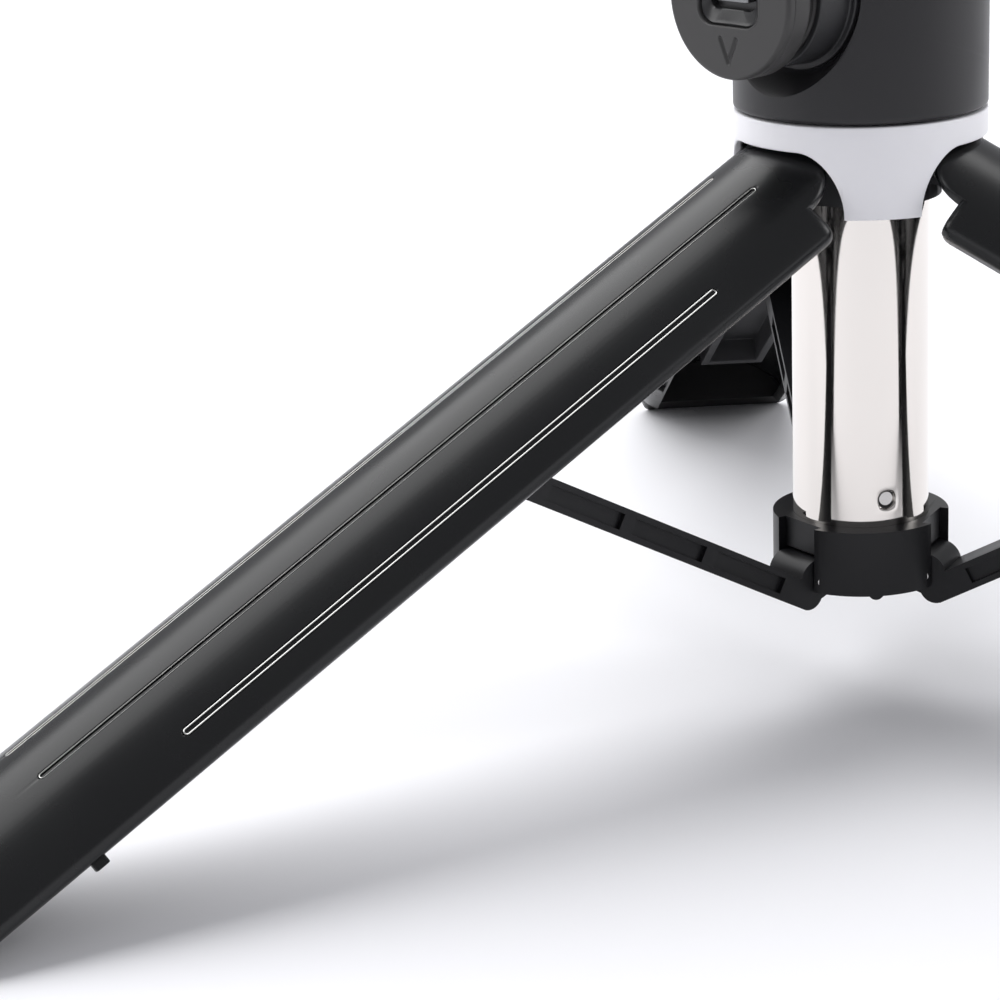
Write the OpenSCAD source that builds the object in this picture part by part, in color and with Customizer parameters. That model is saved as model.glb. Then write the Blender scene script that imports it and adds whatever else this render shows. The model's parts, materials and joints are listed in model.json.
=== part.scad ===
// Pocket selfie stick with a folding tripod handle.
// The three legs close round the pole to make the handle. They are drawn spread, standing on Z = 0.
// The pole stands on the Z axis. A leg is drawn stowed, pointing down along the pole on the +X side,
// and is then swung out about its hinge.

/* [Handle] */
// Radius of the closed handle, the collar and the head
handle_r = 17; // [16.5:0.1:18]
// Distance from a leg's hinge to the end of its foot
leg_len = 156; // [150:1:165]
// Wall of a leg
leg_wall = 1.6; // [1.4:0.1:1.8]
// Angle that a leg swings out from the pole
spread = 63; // [60:0.5:64]
// Distance from the pole's axis to a leg's hinge pin
hinge_r = 12.6; // [12.5:0.1:12.8]
// Height of the hinge pins above the ground
hinge_z = 74.1; // [73:0.1:76]
// Radius that rounds a leg's long edges
leg_corner_r = 2; // [1.5:0.1:2.2]
// Length of the rubber foot
foot_len = 8; // [7:0.5:10]
// Radius round the outer end of the foot
foot_round = 5; // [3:0.5:6]

/* [Grooves] */
// Width of the trim grooves along a leg
groove_w = 1.1; // [0.8:0.1:1.4]
// Depth of the trim grooves
groove_deep = 0.5; // [0.3:0.05:0.6]
// Angle of the long grooves from the middle of the leg
long_groove_angle = 15.2; // [12:0.2:18]
// Angle of the short grooves from the middle of the leg
short_groove_angle = 42.3; // [38:0.2:45]

/* [Collar] */
// Height of the collar's top edge above the ground
collar_top = 81.3; // [80:0.1:83]
// Height of the collar
collar_h = 12.2; // [11:0.1:13]
// Wall of the collar
collar_wall = 1; // [0.9:0.05:1.1]
// Half width of a leg notch at its top
notch_top_w = 5.9; // [5.5:0.1:6.5]
// Half width of a leg notch at the collar's lower edge
notch_low_w = 11.5; // [11.2:0.1:11.5]
// Height of a leg notch
notch_h = 8.6; // [8:0.1:9]

/* [Pole] */
// Radius of the outer pole tube
pole_r = 9.35; // [9.2:0.05:9.5]
// Wall of the pole tubes
pole_wall = 0.45; // [0.4:0.05:0.5]
// Height of the outer tube's lower end
pole_low = 21.4; // [21.2:0.1:22]
// Clear space between one pole tube and the next
pole_gap = 0.6; // [0.5:0.05:0.7]
// Direction of the pin in the tube's lower end, from +X towards +Y
plug_pin_az = 283; // [275:1:290]
// Height of the pin above the ground
plug_pin_z = 28.7; // [28:0.1:29]

/* [Struts] */
// Height of the strut ring
ring_h = 9; // [8:0.5:10]
// Height of the ring's underside above the ground
ring_low = 16; // [15.5:0.1:17]
// Radius of the strut ring
ring_r = 12.1; // [11.8:0.1:12.2]
// Width of a strut
strut_w = 7; // [6:0.1:7.2]
// Thickness of a strut
strut_t = 3.8; // [3:0.1:4]
// Angle of a strut above the ground plane
strut_rise = 28.5; // [27:0.5:30]
// Length from a strut's pin to the axle of its glide
strut_len = 60.2; // [59:0.1:61]

/* [Head] */
// Height of the head housing
head_h = 36.4; // [36:0.2:40]
// Wall of the head housing
head_wall = 2; // [1.6:0.1:2.4]
// Direction that the remote faces, from +X towards +Y
remote_az = 218; // [210:1:225]
// Height of the remote's axis above the ground
remote_z = 98.6; // [98:0.1:100]
// Radius of the remote
remote_r = 10.55; // [10:0.05:11]
// Distance from the pole's axis to the remote's face
remote_face = 25.4; // [25:0.1:26]

/* [Phone clamp] */
// Width of the clamp
clamp_w = 32; // [28:1:36]
// Phone width that the clamp holds when it is closed
clamp_open = 50; // [48:1:52]
// Depth of the jaws in front of the clamp frame
jaw_deep = 18; // [14:1:20]

/* [Hidden] */

$fn = 64;
left_az = 210;
right_az = 330;
back_az = 90;
leg_azimuths = [left_az, right_az, back_az];
web_azimuths = [270, 30, 150];
web_half = 14;
half_sector = 60;
reach = 40;
eps = 0.01;

// Leg, in its stowed place
leg_gap = 0.25;
leg_in_r = handle_r - leg_wall;
flange_in_r = 12.7;
leg_low = hinge_z - leg_len;
shell_low = leg_low + foot_len;
shoulder_z = collar_top - collar_h - 0.6;
arch_clear = 0.6;
arch_drop = 2.2;
leg_top = collar_top - collar_h + notch_h - arch_drop;
arch_steps = 8;
corner_mid_r = handle_r - leg_corner_r;
corner_angle = half_sector - asin((leg_corner_r + leg_gap) / corner_mid_r);
corner_steps = 8;
round_steps = 10;
long_groove = [hinge_z - 129.4, hinge_z - 8.2];
short_groove = [hinge_z - 113.7, hinge_z - 23.7];
trim_clear = 0.06;
trim_sink = 0.14;
peg_z = hinge_z - 130.6;
peg_len = 2;
peg_r = 13.3;
peg_out = 1.3;
foot_inner = 8;
foot_plug = 3;

// Hinge at the collar
hinge_pin_r = 1;
hinge_pin_half = 5.4;
lug_half = 3.6;
lug_r = 2.1;
cheek_half = 5.5;
cheek_in = 3.9;
cheek_r = 1.7;
pin_fit = 0.05;
hub_r = 10.9;
hub_low = collar_top - collar_h + 0.5;
hub_high = collar_top - 1.8;

// Track for the strut's glide, along the leg
track_top = ring_low - 0.8;
track_low = hinge_z - 124;
rail_in = 4.1;
rail_out = 5.4;
rail_deep = 9.6;
track_floor = 13.6;

// Struts
strut_pin_at = [10.6, 0, 17.6];
strut_pin_r = 0.75;
strut_pin_half = 4.5;
strut_knuckle_r = 2.9;
strut_drop = 2.6;
strut_slot_half = 3.8;
glide_r = 3.7;
glide_tongue_half = 1.5;
axle_r = 1;

// Pole
section_count = 3;
section_first = 12;
section_step = 2;
slider_h = 1.2;
section_rim = 0.35;
pole_press = 0.02;
pole_slip = 0.1;
plug_pin_r = 1.1;
plug_pin_in = 4;
plug_pin_len = 3.3;
pin_hole_r = 1.25;

// Head
head_low = collar_top + 0.3;
head_top = head_low + head_h;
cap_top = head_top + 1.8;
recess_r = 14.4;
recess_low_r = 11;
recess_floor = 12;
recess_deep = 6;
button_z = head_low + 26.5;
button_r = 4;
button_seat = -14.6;

// Remote
socket_r = 9.9;
neck_r = 8.7;
body_wall = 1.1;
port_w = 10.4;
port_h = 6.4;
port_r = 2.2;
port_drop = 0.4;
port_fit = 0.2;
mark_drop = 7.9;
mark_len = 3.2;
mark_w = 0.6;
mark_turn = 27;
tongue_w = 5.8;

// Phone clamp
rim_h = 1.4;
neck_z = cap_top + 1 + (section_count - 1) * rim_h;
neck_socket = 2;
tilt_z = neck_z + 12.5;
frame_low = tilt_z + 6.2;
frame_back = 4;
frame_front = -3;
jaw_t = 4;
pad_t = 1.2;
lower_jaw_top = frame_low + jaw_t;
upper_jaw_low = lower_jaw_top + clamp_open + 2 * pad_t;
lip_t = 2;
lip_h = 3.4;
pad_in = 1;
rod_x = 10;
rod_y = 0.5;
rod_r = 1.5;
spring_r = 2.4;
spring_wall = 0.5;
bolt_r = 1.5;
ear_in = 5.2;
ear_t = 2.6;
ear_r = 5;
nut_t = 2.6;
hinge_half = 4.9;
hinge_knuckle_r = 4.6;

function section_r(i) = pole_r - i * (pole_wall + pole_gap);
function section_low(i) = pole_low + section_first + section_step * i;
function section_top(i) = i == section_count ? neck_z + neck_socket : cap_top + 0.4 + i * rim_h;

// Wedge between two planes at +half and -half degrees, each moved in by gap
module wedge_2d(half, gap = 0) {
    translate([gap / sin(half), 0])
        polygon([[0, 0], [reach, -reach * tan(half)], [reach, reach * tan(half)]]);
}

// One side of a leg's outline, from near the axis round the long edge and out past the surface
function sector_side() =
    let (cx = corner_mid_r * cos(corner_angle), cy = corner_mid_r * sin(corner_angle))
    concat(
        [[leg_gap / sin(half_sector) + 0.01, 0.01 * tan(half_sector)]],
        [for (i = [0 : corner_steps])
            let (
                a = half_sector + 90 + (corner_angle - half_sector - 90) * i / corner_steps,
                r = leg_corner_r + (i == corner_steps ? 0.02 : 0)
            ) [cx + r * cos(a), cy + r * sin(a)]],
        [[reach * cos(corner_angle), reach * sin(corner_angle)]]
    );

// The third of a circle that a leg fills, with rounded long edges
module sector_2d() {
    side = sector_side();
    n = len(side);
    polygon(concat(side, [for (i = [n - 1 : -1 : 0]) [side[i][0], -side[i][1]]]));
}

// Outline of a stowed leg across its length
module leg_outline_2d() {
    intersection() {
        circle(r = handle_r);
        sector_2d();
    }
}

// Bar with round ends, from z0 to z1, w wide, standing on the handle's surface between radii r0 and r1
module trim_bar(angle, z0, z1, w, r0, r1) {
    rotate([0, 0, angle])
        translate([r0, 0, 0])
            rotate([90, 0, 90])
                linear_extrude(r1 - r0) {
                    translate([-w / 2, z0 + w / 2]) square([w, z1 - z0 - w]);
                    translate([0, z0 + w / 2]) circle(d = w);
                    translate([0, z1 - w / 2]) circle(d = w);
                }
}

// The four trim bars of one leg
module trim_bars(w, r0, r1) {
    for (side = [-1, 1]) {
        trim_bar(side * long_groove_angle, long_groove[0], long_groove[1], w, r0, r1);
        trim_bar(side * short_groove_angle, short_groove[0], short_groove[1], w, r0, r1);
    }
}

// Front outline of a notch, or of the leg end under it, which is narrower by shrink on each side and lower
// by drop: flat on top, curving out to the bottom
module arch_2d(shrink, drop) {
    top_w = notch_top_w - shrink;
    low_w = notch_low_w - shrink;
    low = collar_top - collar_h;
    rise = notch_h - drop;
    side = [for (i = [0 : arch_steps])
        let (q = 90 * i / arch_steps) [top_w + (low_w - top_w) * sin(q), low + rise * cos(q)]];
    mirrored = [for (i = [arch_steps : -1 : 0]) [-side[i][0], side[i][1]]];
    polygon(concat(side, [[low_w, low - 2], [-low_w, low - 2]], mirrored));
}

// Swings a stowed leg out and turns it to its place round the pole
module at_leg(az) {
    rotate([0, 0, az])
        translate([hinge_r, 0, hinge_z])
            rotate([0, -spread, 0])
                translate([-hinge_r, 0, -hinge_z])
                    children();
}

module leg_shell() {
    color([0.06, 0.06, 0.07])
        difference() {
            union() {
                translate([0, 0, shell_low])
                    linear_extrude(shoulder_z - shell_low)
                        leg_outline_2d();
                intersection() {
                    translate([0, 0, shoulder_z - eps])
                        linear_extrude(leg_top - shoulder_z + eps)
                            leg_outline_2d();
                    rotate([90, 0, 90])
                        linear_extrude(reach)
                            arch_2d(arch_clear, arch_drop);
                }
                rotate([0, 0, half_sector])
                    translate([peg_r, -leg_gap - 0.2, peg_z - peg_len / 2])
                        cube([1.4, peg_out, peg_len]);
            }
            translate([0, 0, shell_low - 1])
                linear_extrude(leg_len + 10) {
                    circle(r = flange_in_r);
                    intersection() {
                        circle(r = leg_in_r);
                        wedge_2d(half_sector, leg_gap + leg_wall);
                    }
                }
            translate([0, 0, shoulder_z - 3])
                cylinder(r = leg_in_r, h = leg_top);
            trim_bars(groove_w, handle_r - groove_deep, handle_r + 2);
            rotate([0, 0, -half_sector])
                translate([peg_r - 2, -1, peg_z - peg_len / 2 - 0.4])
                    cube([3.8, 2.3, peg_len + 0.8]);
        }
}

module leg_trim() {
    color([0.3, 0.3, 0.32])
        trim_bars(groove_w - 2 * trim_clear, handle_r - groove_deep, handle_r - trim_sink);
}

module leg_bracket() {
    block_low = hinge_z - 22;
    block_high = hinge_z - 9;
    cheek_back = 11.2;
    color([0.1, 0.1, 0.11])
        difference() {
            intersection() {
                cylinder(r = leg_in_r, h = 2 * hinge_z);
                union() {
                    translate([flange_in_r + 0.2, -cheek_half, block_low])
                        cube([reach, 2 * cheek_half, block_high - block_low]);
                    for (side = [-1, 1]) {
                        translate([cheek_back, side > 0 ? cheek_in : -cheek_half, block_low])
                            cube([3.1, cheek_half - cheek_in, hinge_z - block_low - cheek_r]);
                        translate([hinge_r - cheek_r, side > 0 ? cheek_in : -cheek_half, hinge_z - 3])
                            cube([2 * cheek_r, cheek_half - cheek_in, 3]);
                        translate([hinge_r, side * (cheek_in + cheek_half) / 2, hinge_z])
                            rotate([90, 0, 0])
                                cylinder(r = cheek_r, h = cheek_half - cheek_in, center = true);
                    }
                }
            }
            translate([hinge_r, 0, hinge_z])
                rotate([90, 0, 0])
                    cylinder(r = hinge_pin_r + pin_fit, h = 20, center = true);
        }
}

module leg_track() {
    stop_t = 2;
    color([0.12, 0.12, 0.13])
        intersection() {
            translate([0, 0, track_low - stop_t])
                cylinder(r = leg_in_r, h = track_top - track_low + stop_t);
            union() {
                translate([track_floor, -rail_out, track_low - stop_t])
                    cube([reach, 2 * rail_out, reach * 2]);
                for (side = [-1, 1])
                    translate([rail_deep, side > 0 ? rail_in : -rail_out, track_low - stop_t])
                        cube([track_floor - rail_deep + eps, rail_out - rail_in, reach * 2]);
                translate([rail_deep, -rail_out, track_low - stop_t])
                    cube([track_floor - rail_deep + eps, 2 * rail_out, stop_t]);
            }
        }
}

// Foot: the handle's rounded end, cut to one leg's sector
module leg_foot() {
    edge = handle_r - foot_round;
    arc = [for (i = [0 : round_steps])
        let (a = -90 + 90 * i / round_steps)
            [edge + foot_round * cos(a), foot_round + foot_round * sin(a)]];
    color([0.05, 0.05, 0.055])
        difference() {
            union() {
                intersection() {
                    translate([0, 0, leg_low])
                        rotate_extrude()
                            polygon(concat(
                                [[0, 0]],
                                arc,
                                [[handle_r, foot_len - 0.1], [0, foot_len - 0.1]]
                            ));
                    translate([0, 0, leg_low - 1])
                        linear_extrude(foot_len + 2)
                            sector_2d();
                }
                translate([0, 0, shell_low - 0.2])
                    linear_extrude(foot_plug)
                        difference() {
                            intersection() {
                                circle(r = leg_in_r - 0.1);
                                wedge_2d(half_sector, leg_gap + leg_wall + 0.1);
                            }
                            circle(r = flange_in_r + 0.1);
                        }
            }
            translate([foot_inner - reach, -reach / 2, leg_low - 1])
                cube([reach, reach, foot_len + 1 + foot_plug]);
        }
}

// Foot in its place, with a flat worn level with the ground
module standing_foot(az) {
    difference() {
        at_leg(az) leg_foot();
        translate([-300, -300, -20]) cube([600, 600, 20]);
    }
}

module collar_shell() {
    ceiling = 1.4;
    color([0.9, 0.9, 0.92])
        difference() {
            translate([0, 0, collar_top - collar_h])
                cylinder(r = handle_r, h = collar_h);
            translate([0, 0, collar_top - collar_h - 1])
                cylinder(r = handle_r - collar_wall, h = collar_h - ceiling + 1);
            cylinder(r = pole_r + pole_slip, h = 2 * hinge_z);
            for (az = leg_azimuths)
                rotate([0, 0, az])
                    rotate([90, 0, 90])
                        linear_extrude(reach)
                            arch_2d(0, 0);
        }
}

module leg_hub() {
    color([0.08, 0.08, 0.09])
        difference() {
            union() {
                translate([0, 0, hub_low])
                    cylinder(r = hub_r, h = hub_high - hub_low);
                for (az = web_azimuths)
                    rotate([0, 0, az])
                        translate([0, 0, hub_low])
                            linear_extrude(hub_high - hub_low)
                                intersection() {
                                    circle(r = handle_r - collar_wall - 0.15);
                                    wedge_2d(web_half);
                                }
                for (az = leg_azimuths)
                    rotate([0, 0, az]) {
                        translate([hub_r - 2, -lug_half, hinge_z - lug_r])
                            cube([hinge_r - hub_r + 2, 2 * lug_half, 2 * lug_r]);
                        translate([hinge_r, 0, hinge_z])
                            rotate([90, 0, 0])
                                cylinder(r = lug_r, h = 2 * lug_half, center = true);
                    }
            }
            cylinder(r = pole_r + pole_press, h = 2 * hinge_z);
            for (az = leg_azimuths)
                rotate([0, 0, az])
                    translate([hinge_r, 0, hinge_z])
                        rotate([90, 0, 0]) {
                            cylinder(r = hinge_pin_r, h = 2 * lug_half + 2, center = true);
                            for (side = [-1, 1])
                                translate([0, 0, side * (lug_half + 1.25)])
                                    cylinder(r = 2.3, h = 2.5, center = true);
                        }
            for (az = leg_azimuths)
                rotate([0, 0, az])
                    translate([hinge_r - 1.6, -9, hinge_z + 2.15])
                        cube([9, 18, 6]);
        }
}

module hinge_pins() {
    color([0.75, 0.75, 0.77])
        for (az = leg_azimuths)
            rotate([0, 0, az])
                translate([hinge_r, 0, hinge_z])
                    rotate([90, 0, 0])
                        cylinder(r = hinge_pin_r, h = 2 * hinge_pin_half, center = true);
}

// Frame with +Z pointing out of the tube along the pin's axis, from depth deep inside the tube's surface
module at_plug_pin(deep) {
    rotate([0, 0, plug_pin_az])
        translate([pole_r - deep, 0, plug_pin_z])
            rotate([0, 90, 0])
                children();
}

module pole_tube() {
    color([0.85, 0.84, 0.82])
        difference() {
            translate([0, 0, pole_low])
                cylinder(r = pole_r, h = cap_top - 0.05 - pole_low);
            translate([0, 0, pole_low - 1])
                cylinder(r = pole_r - pole_wall, h = cap_top);
            at_plug_pin(3)
                cylinder(r = pin_hole_r, h = 5);
        }
}

module pole_plug() {
    plug_h = 10.4;
    color([0.1, 0.1, 0.1])
        difference() {
            translate([0, 0, pole_low])
                cylinder(r = pole_r - pole_wall - pole_press, h = plug_h);
            translate([0, 0, pole_low - 1])
                cylinder(r = 1.3, h = 8);
            at_plug_pin(plug_pin_in)
                cylinder(r = plug_pin_r, h = 5);
        }
}

module plug_pin() {
    color([0.35, 0.34, 0.33])
        at_plug_pin(plug_pin_in)
            cylinder(r = plug_pin_r, h = plug_pin_len);
}

module strut_ring() {
    slot_in = 5.7;
    nub_r = 1.1;
    color([0.07, 0.07, 0.08])
        difference() {
            union() {
                translate([0, 0, ring_low])
                    cylinder(r = ring_r, h = ring_h);
                for (az = web_azimuths)
                    rotate([0, 0, az])
                        translate([ring_r - 2.2, 0, ring_low + 0.5])
                            rotate([0, 90, 0])
                                cylinder(r = nub_r, h = 1.9);
            }
            translate([0, 0, pole_low - 0.05])
                cylinder(r = pole_r + pole_press, h = ring_h);
            for (az = leg_azimuths)
                rotate([0, 0, az]) {
                    translate([slot_in, -strut_slot_half, ring_low - 1])
                        cube([ring_r, 2 * strut_slot_half, 5.8]);
                    translate([pole_r + 0.9, -strut_slot_half, ring_low - 1])
                        cube([ring_r, 2 * strut_slot_half, ring_h + 2]);
                    translate(strut_pin_at)
                        rotate([90, 0, 0])
                            cylinder(r = strut_pin_r, h = 2 * strut_pin_half + 0.1, center = true);
                }
            translate([0, 0, ring_low - 1])
                cylinder(r = 1.6, h = ring_h);
            translate([0, 0, ring_low - 1])
                cylinder(r = 3, h = 2.6);
        }
}

module strut_pins() {
    color([0.7, 0.7, 0.72])
        for (az = leg_azimuths)
            rotate([0, 0, az])
                translate(strut_pin_at)
                    rotate([90, 0, 0])
                        cylinder(r = strut_pin_r, h = 2 * strut_pin_half, center = true);
}

module ring_screw() {
    color([0.6, 0.6, 0.62])
        difference() {
            union() {
                translate([0, 0, ring_low + 0.2]) cylinder(r = 2.8, h = 1.4);
                translate([0, 0, ring_low + 1]) cylinder(r = 1.5, h = pole_low - ring_low - 1);
                translate([0, 0, pole_low - eps]) cylinder(r = 1.28, h = 6);
            }
            for (turn = [0, 90])
                rotate([0, 0, turn])
                    translate([-1.6, -0.35, ring_low]) cube([3.2, 0.7, 0.9]);
        }
}

// Strut along +X with its pin at the origin
module strut_bar() {
    arm_top = strut_t / 2 - strut_drop;
    elbow_r = strut_knuckle_r - 0.7;
    pocket_deep = 0.7;
    pocket_h = strut_t - 1.6;
    color([0.08, 0.08, 0.09])
        difference() {
            rotate([90, 0, 0])
                translate([0, 0, -strut_w / 2])
                    linear_extrude(strut_w)
                        difference() {
                            union() {
                                circle(r = strut_knuckle_r);
                                translate([0.3, arm_top - strut_t + elbow_r]) circle(r = elbow_r);
                                translate([0, arm_top - strut_t])
                                    square([strut_len - glide_r - 0.6, strut_t]);
                                translate([strut_len - glide_r - 1, -strut_drop - strut_t / 2])
                                    square([glide_r + 1, strut_t]);
                                translate([strut_len, -strut_drop]) circle(r = strut_t / 2);
                            }
                            circle(r = strut_pin_r + pin_fit);
                            translate([strut_len, -strut_drop]) circle(r = axle_r + pole_press);
                        }
            for (side = [-1, 1]) {
                translate([strut_len - glide_r - 0.5, side > 0 ? glide_tongue_half : -reach, -reach / 2])
                    cube([reach, reach - glide_tongue_half, reach]);
                for (i = [0 : 2])
                    translate([
                        5.6 + i * 15.2,
                        side > 0 ? strut_w / 2 - pocket_deep : -strut_w / 2 - 1,
                        arm_top - strut_t + 0.8
                    ])
                        cube([13, pocket_deep + 1, pocket_h]);
            }
        }
}

module strut_glide() {
    disc_in = glide_tongue_half + 0.3;
    disc_w = 1.7;
    color([0.2, 0.2, 0.21])
        translate([strut_len, 0, -strut_drop])
            rotate([90, 0, 0]) {
                cylinder(r = axle_r, h = 2 * disc_in, center = true);
                for (side = [-1, 1])
                    translate([0, 0, side * (disc_in + disc_w / 2)])
                        cylinder(r = glide_r, h = disc_w, center = true);
            }
}

module at_strut(az) {
    rotate([0, 0, az])
        translate(strut_pin_at)
            rotate([0, -strut_rise, 0])
                children();
}

// Frame with +X pointing out of the head along the remote's axis
module at_remote() {
    rotate([0, 0, remote_az])
        translate([0, 0, remote_z])
            children();
}

module head_housing() {
    color([0.12, 0.12, 0.13])
        difference() {
            translate([0, 0, head_low])
                cylinder(r = handle_r, h = head_h);
            difference() {
                translate([0, 0, head_low + head_wall])
                    cylinder(r = handle_r - head_wall, h = head_h - 2 * head_wall);
                at_remote()
                    rotate([0, 90, 0]) cylinder(r = recess_r + 1, h = reach);
            }
            cylinder(r = pole_r + pole_slip, h = 2 * head_top);
            at_remote()
                translate([recess_floor, 0, 0])
                    rotate([0, 90, 0]) cylinder(r1 = recess_low_r, r2 = recess_r, h = recess_deep);
            translate([0, -8, button_z])
                rotate([90, 0, 0]) cylinder(r = button_r + 0.3, h = reach);
        }
}

module head_cap() {
    color([0.85, 0.85, 0.87])
        difference() {
            union() {
                translate([0, 0, head_top + 0.05]) cylinder(r = handle_r - 0.4, h = 0.9);
                translate([0, 0, head_top + 0.9]) cylinder(r = handle_r - 2.4, h = 0.9);
            }
            cylinder(r = pole_r + pole_slip, h = 2 * cap_top);
        }
}

module pole_guide() {
    color([0.15, 0.15, 0.15])
        translate([0, 0, cap_top])
            difference() {
                cylinder(r = pole_r + 1.4, h = 0.6);
                translate([0, 0, -1]) cylinder(r = section_r(1) + 0.12, h = 3);
            }
}

module shutter_switch() {
    color([0.3, 0.3, 0.3])
        translate([-3, -13.4, button_z - 3])
            cube([6, 3.95, 6]);
}

module shutter_button() {
    color([0.75, 0.75, 0.77])
        translate([0, button_seat, button_z])
            rotate([90, 0, 0]) {
                cylinder(r = button_r, h = 3.1);
                cylinder(r = button_r - 0.6, h = 3.4);
            }
}

module remote_socket() {
    color([0.05, 0.05, 0.06])
        at_remote()
            rotate([0, 90, 0])
                difference() {
                    union() {
                        translate([0, 0, recess_floor]) cylinder(r = socket_r, h = 6.6);
                        translate([0, 0, recess_floor]) cylinder(r = socket_r + 0.9, h = 1);
                    }
                    translate([0, 0, recess_floor + 0.6]) cylinder(r = socket_r - 0.9, h = reach);
                }
}

module remote_shell() {
    neck_low = recess_floor + 0.9;
    rim_low = remote_face - 4.5;
    color([0.09, 0.09, 0.1])
        at_remote()
            rotate([0, 90, 0])
                difference() {
                    union() {
                        translate([0, 0, rim_low]) cylinder(r = remote_r, h = 3.2);
                        translate([0, 0, neck_low]) cylinder(r = neck_r, h = rim_low - neck_low + 1);
                    }
                    translate([0, 0, neck_low + 1.2])
                        cylinder(r = neck_r - body_wall, h = remote_face - recess_floor);
                }
}

// Round-ended opening of the charging port, as seen from the front
module port_2d(w, h, r) {
    for (sx = [-1, 1], sy = [-1, 1])
        translate([sx * (w / 2 - r), sy * (h / 2 - r)]) circle(r = r);
    square([w - 2 * r, h], center = true);
    square([w, h - 2 * r], center = true);
}

module remote_face_cap() {
    chamfer = 0.4;
    color([0.13, 0.13, 0.135])
        at_remote()
            rotate([90, 0, 90])
                difference() {
                    union() {
                        translate([0, 0, remote_face - 1.25]) cylinder(r = remote_r, h = 1.25 - chamfer);
                        translate([0, 0, remote_face - chamfer - eps])
                            cylinder(r1 = remote_r, r2 = remote_r - chamfer, h = chamfer + eps);
                    }
                    translate([0, -port_drop, remote_face - 3])
                        linear_extrude(5) port_2d(port_w, port_h, port_r);
                    for (side = [-1, 1])
                        translate([0, -mark_drop, remote_face - 0.35])
                            rotate([0, 0, 90 + side * mark_turn])
                                translate([0, -mark_w / 2, 0]) cube([mark_len, mark_w, 2]);
                }
}

module remote_port() {
    color([0.04, 0.04, 0.045])
        at_remote()
            rotate([90, 0, 90])
                translate([0, -port_drop, remote_face - 2.6])
                    difference() {
                        linear_extrude(2.1)
                            port_2d(port_w - port_fit, port_h - port_fit, port_r - port_fit / 2);
                        translate([0, 0.3, 0.5]) linear_extrude(3) port_2d(8, 3.4, 1.2);
                    }
}

module port_tongue() {
    color([0.8, 0.8, 0.82])
        at_remote()
            rotate([90, 0, 90])
                translate([-tongue_w / 2, -0.6, remote_face - 2.1])
                    cube([tongue_w, 1, 1.3]);
}

module remote_board() {
    color([0.1, 0.3, 0.15])
        at_remote()
            rotate([0, 90, 0])
                translate([0, 0, remote_face - 4.2]) cylinder(r = neck_r - body_wall - pin_fit, h = 1.2);
}

module remote_cell() {
    color([0.7, 0.7, 0.7])
        at_remote()
            rotate([0, 90, 0])
                translate([0, 0, recess_floor + 2.1]) cylinder(r = 7, h = 3.6);
}

// Telescoping tube i, with a rolled rim at its upper end unless it stands in the clamp's yoke
module pole_section(i) {
    last = i == section_count;
    wall = last ? 1.2 : pole_wall;
    low = section_low(i);
    color([0.85, 0.84, 0.82])
        difference() {
            union() {
                translate([0, 0, low])
                    cylinder(r = section_r(i), h = section_top(i) - low);
                if (!last)
                    translate([0, 0, section_top(i) - 0.9])
                        cylinder(r = section_r(i) + section_rim, h = 0.9);
            }
            translate([0, 0, pole_low]) cylinder(r = section_r(i) - wall, h = 2 * section_top(i));
        }
}

// Slider that guides section i in the tube round it
module section_slider(i) {
    color([0.9, 0.9, 0.88])
        translate([0, 0, section_low(i) - slider_h])
            difference() {
                cylinder(r = section_r(i) + pole_gap - pin_fit, h = slider_h);
                translate([0, 0, -1]) cylinder(r = section_r(i) - 1.6, h = 4);
            }
}

module clamp_yoke() {
    color([0.1, 0.1, 0.11])
        difference() {
            union() {
                translate([0, 0, neck_z]) cylinder(r = 7.8, h = 5);
                for (side = [-1, 1]) {
                    translate([side > 0 ? ear_in : -ear_in - ear_t, -ear_r, neck_z + 2])
                        cube([ear_t, 2 * ear_r, tilt_z - neck_z - 2]);
                    translate([side > 0 ? ear_in : -ear_in - ear_t, 0, tilt_z])
                        rotate([0, 90, 0]) cylinder(r = ear_r, h = ear_t);
                }
            }
            translate([0, 0, tilt_z])
                rotate([0, 90, 0]) cylinder(r = bolt_r + pin_fit, h = reach, center = true);
            translate([0, 0, neck_z - 1])
                cylinder(r = section_r(section_count) + pole_press, h = neck_socket + 1);
        }
}

module tilt_bolt() {
    color([0.6, 0.6, 0.62])
        translate([0, 0, tilt_z])
            rotate([0, 90, 0]) {
                translate([0, 0, -ear_in - ear_t])
                    cylinder(r = bolt_r, h = 2 * (ear_in + ear_t) + 1.6);
                translate([0, 0, -ear_in - ear_t - 1.6])
                    cylinder(r = 2 * bolt_r, h = 1.6);
            }
}

module tilt_nut() {
    color([0.12, 0.12, 0.13])
        translate([ear_in + ear_t + pin_fit, 0, tilt_z])
            rotate([0, 90, 0])
                difference() {
                    cylinder(r = 4.2, h = nut_t, $fn = 6);
                    translate([0, 0, -1]) cylinder(r = bolt_r + pin_fit, h = nut_t + 2);
                }
}

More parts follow.
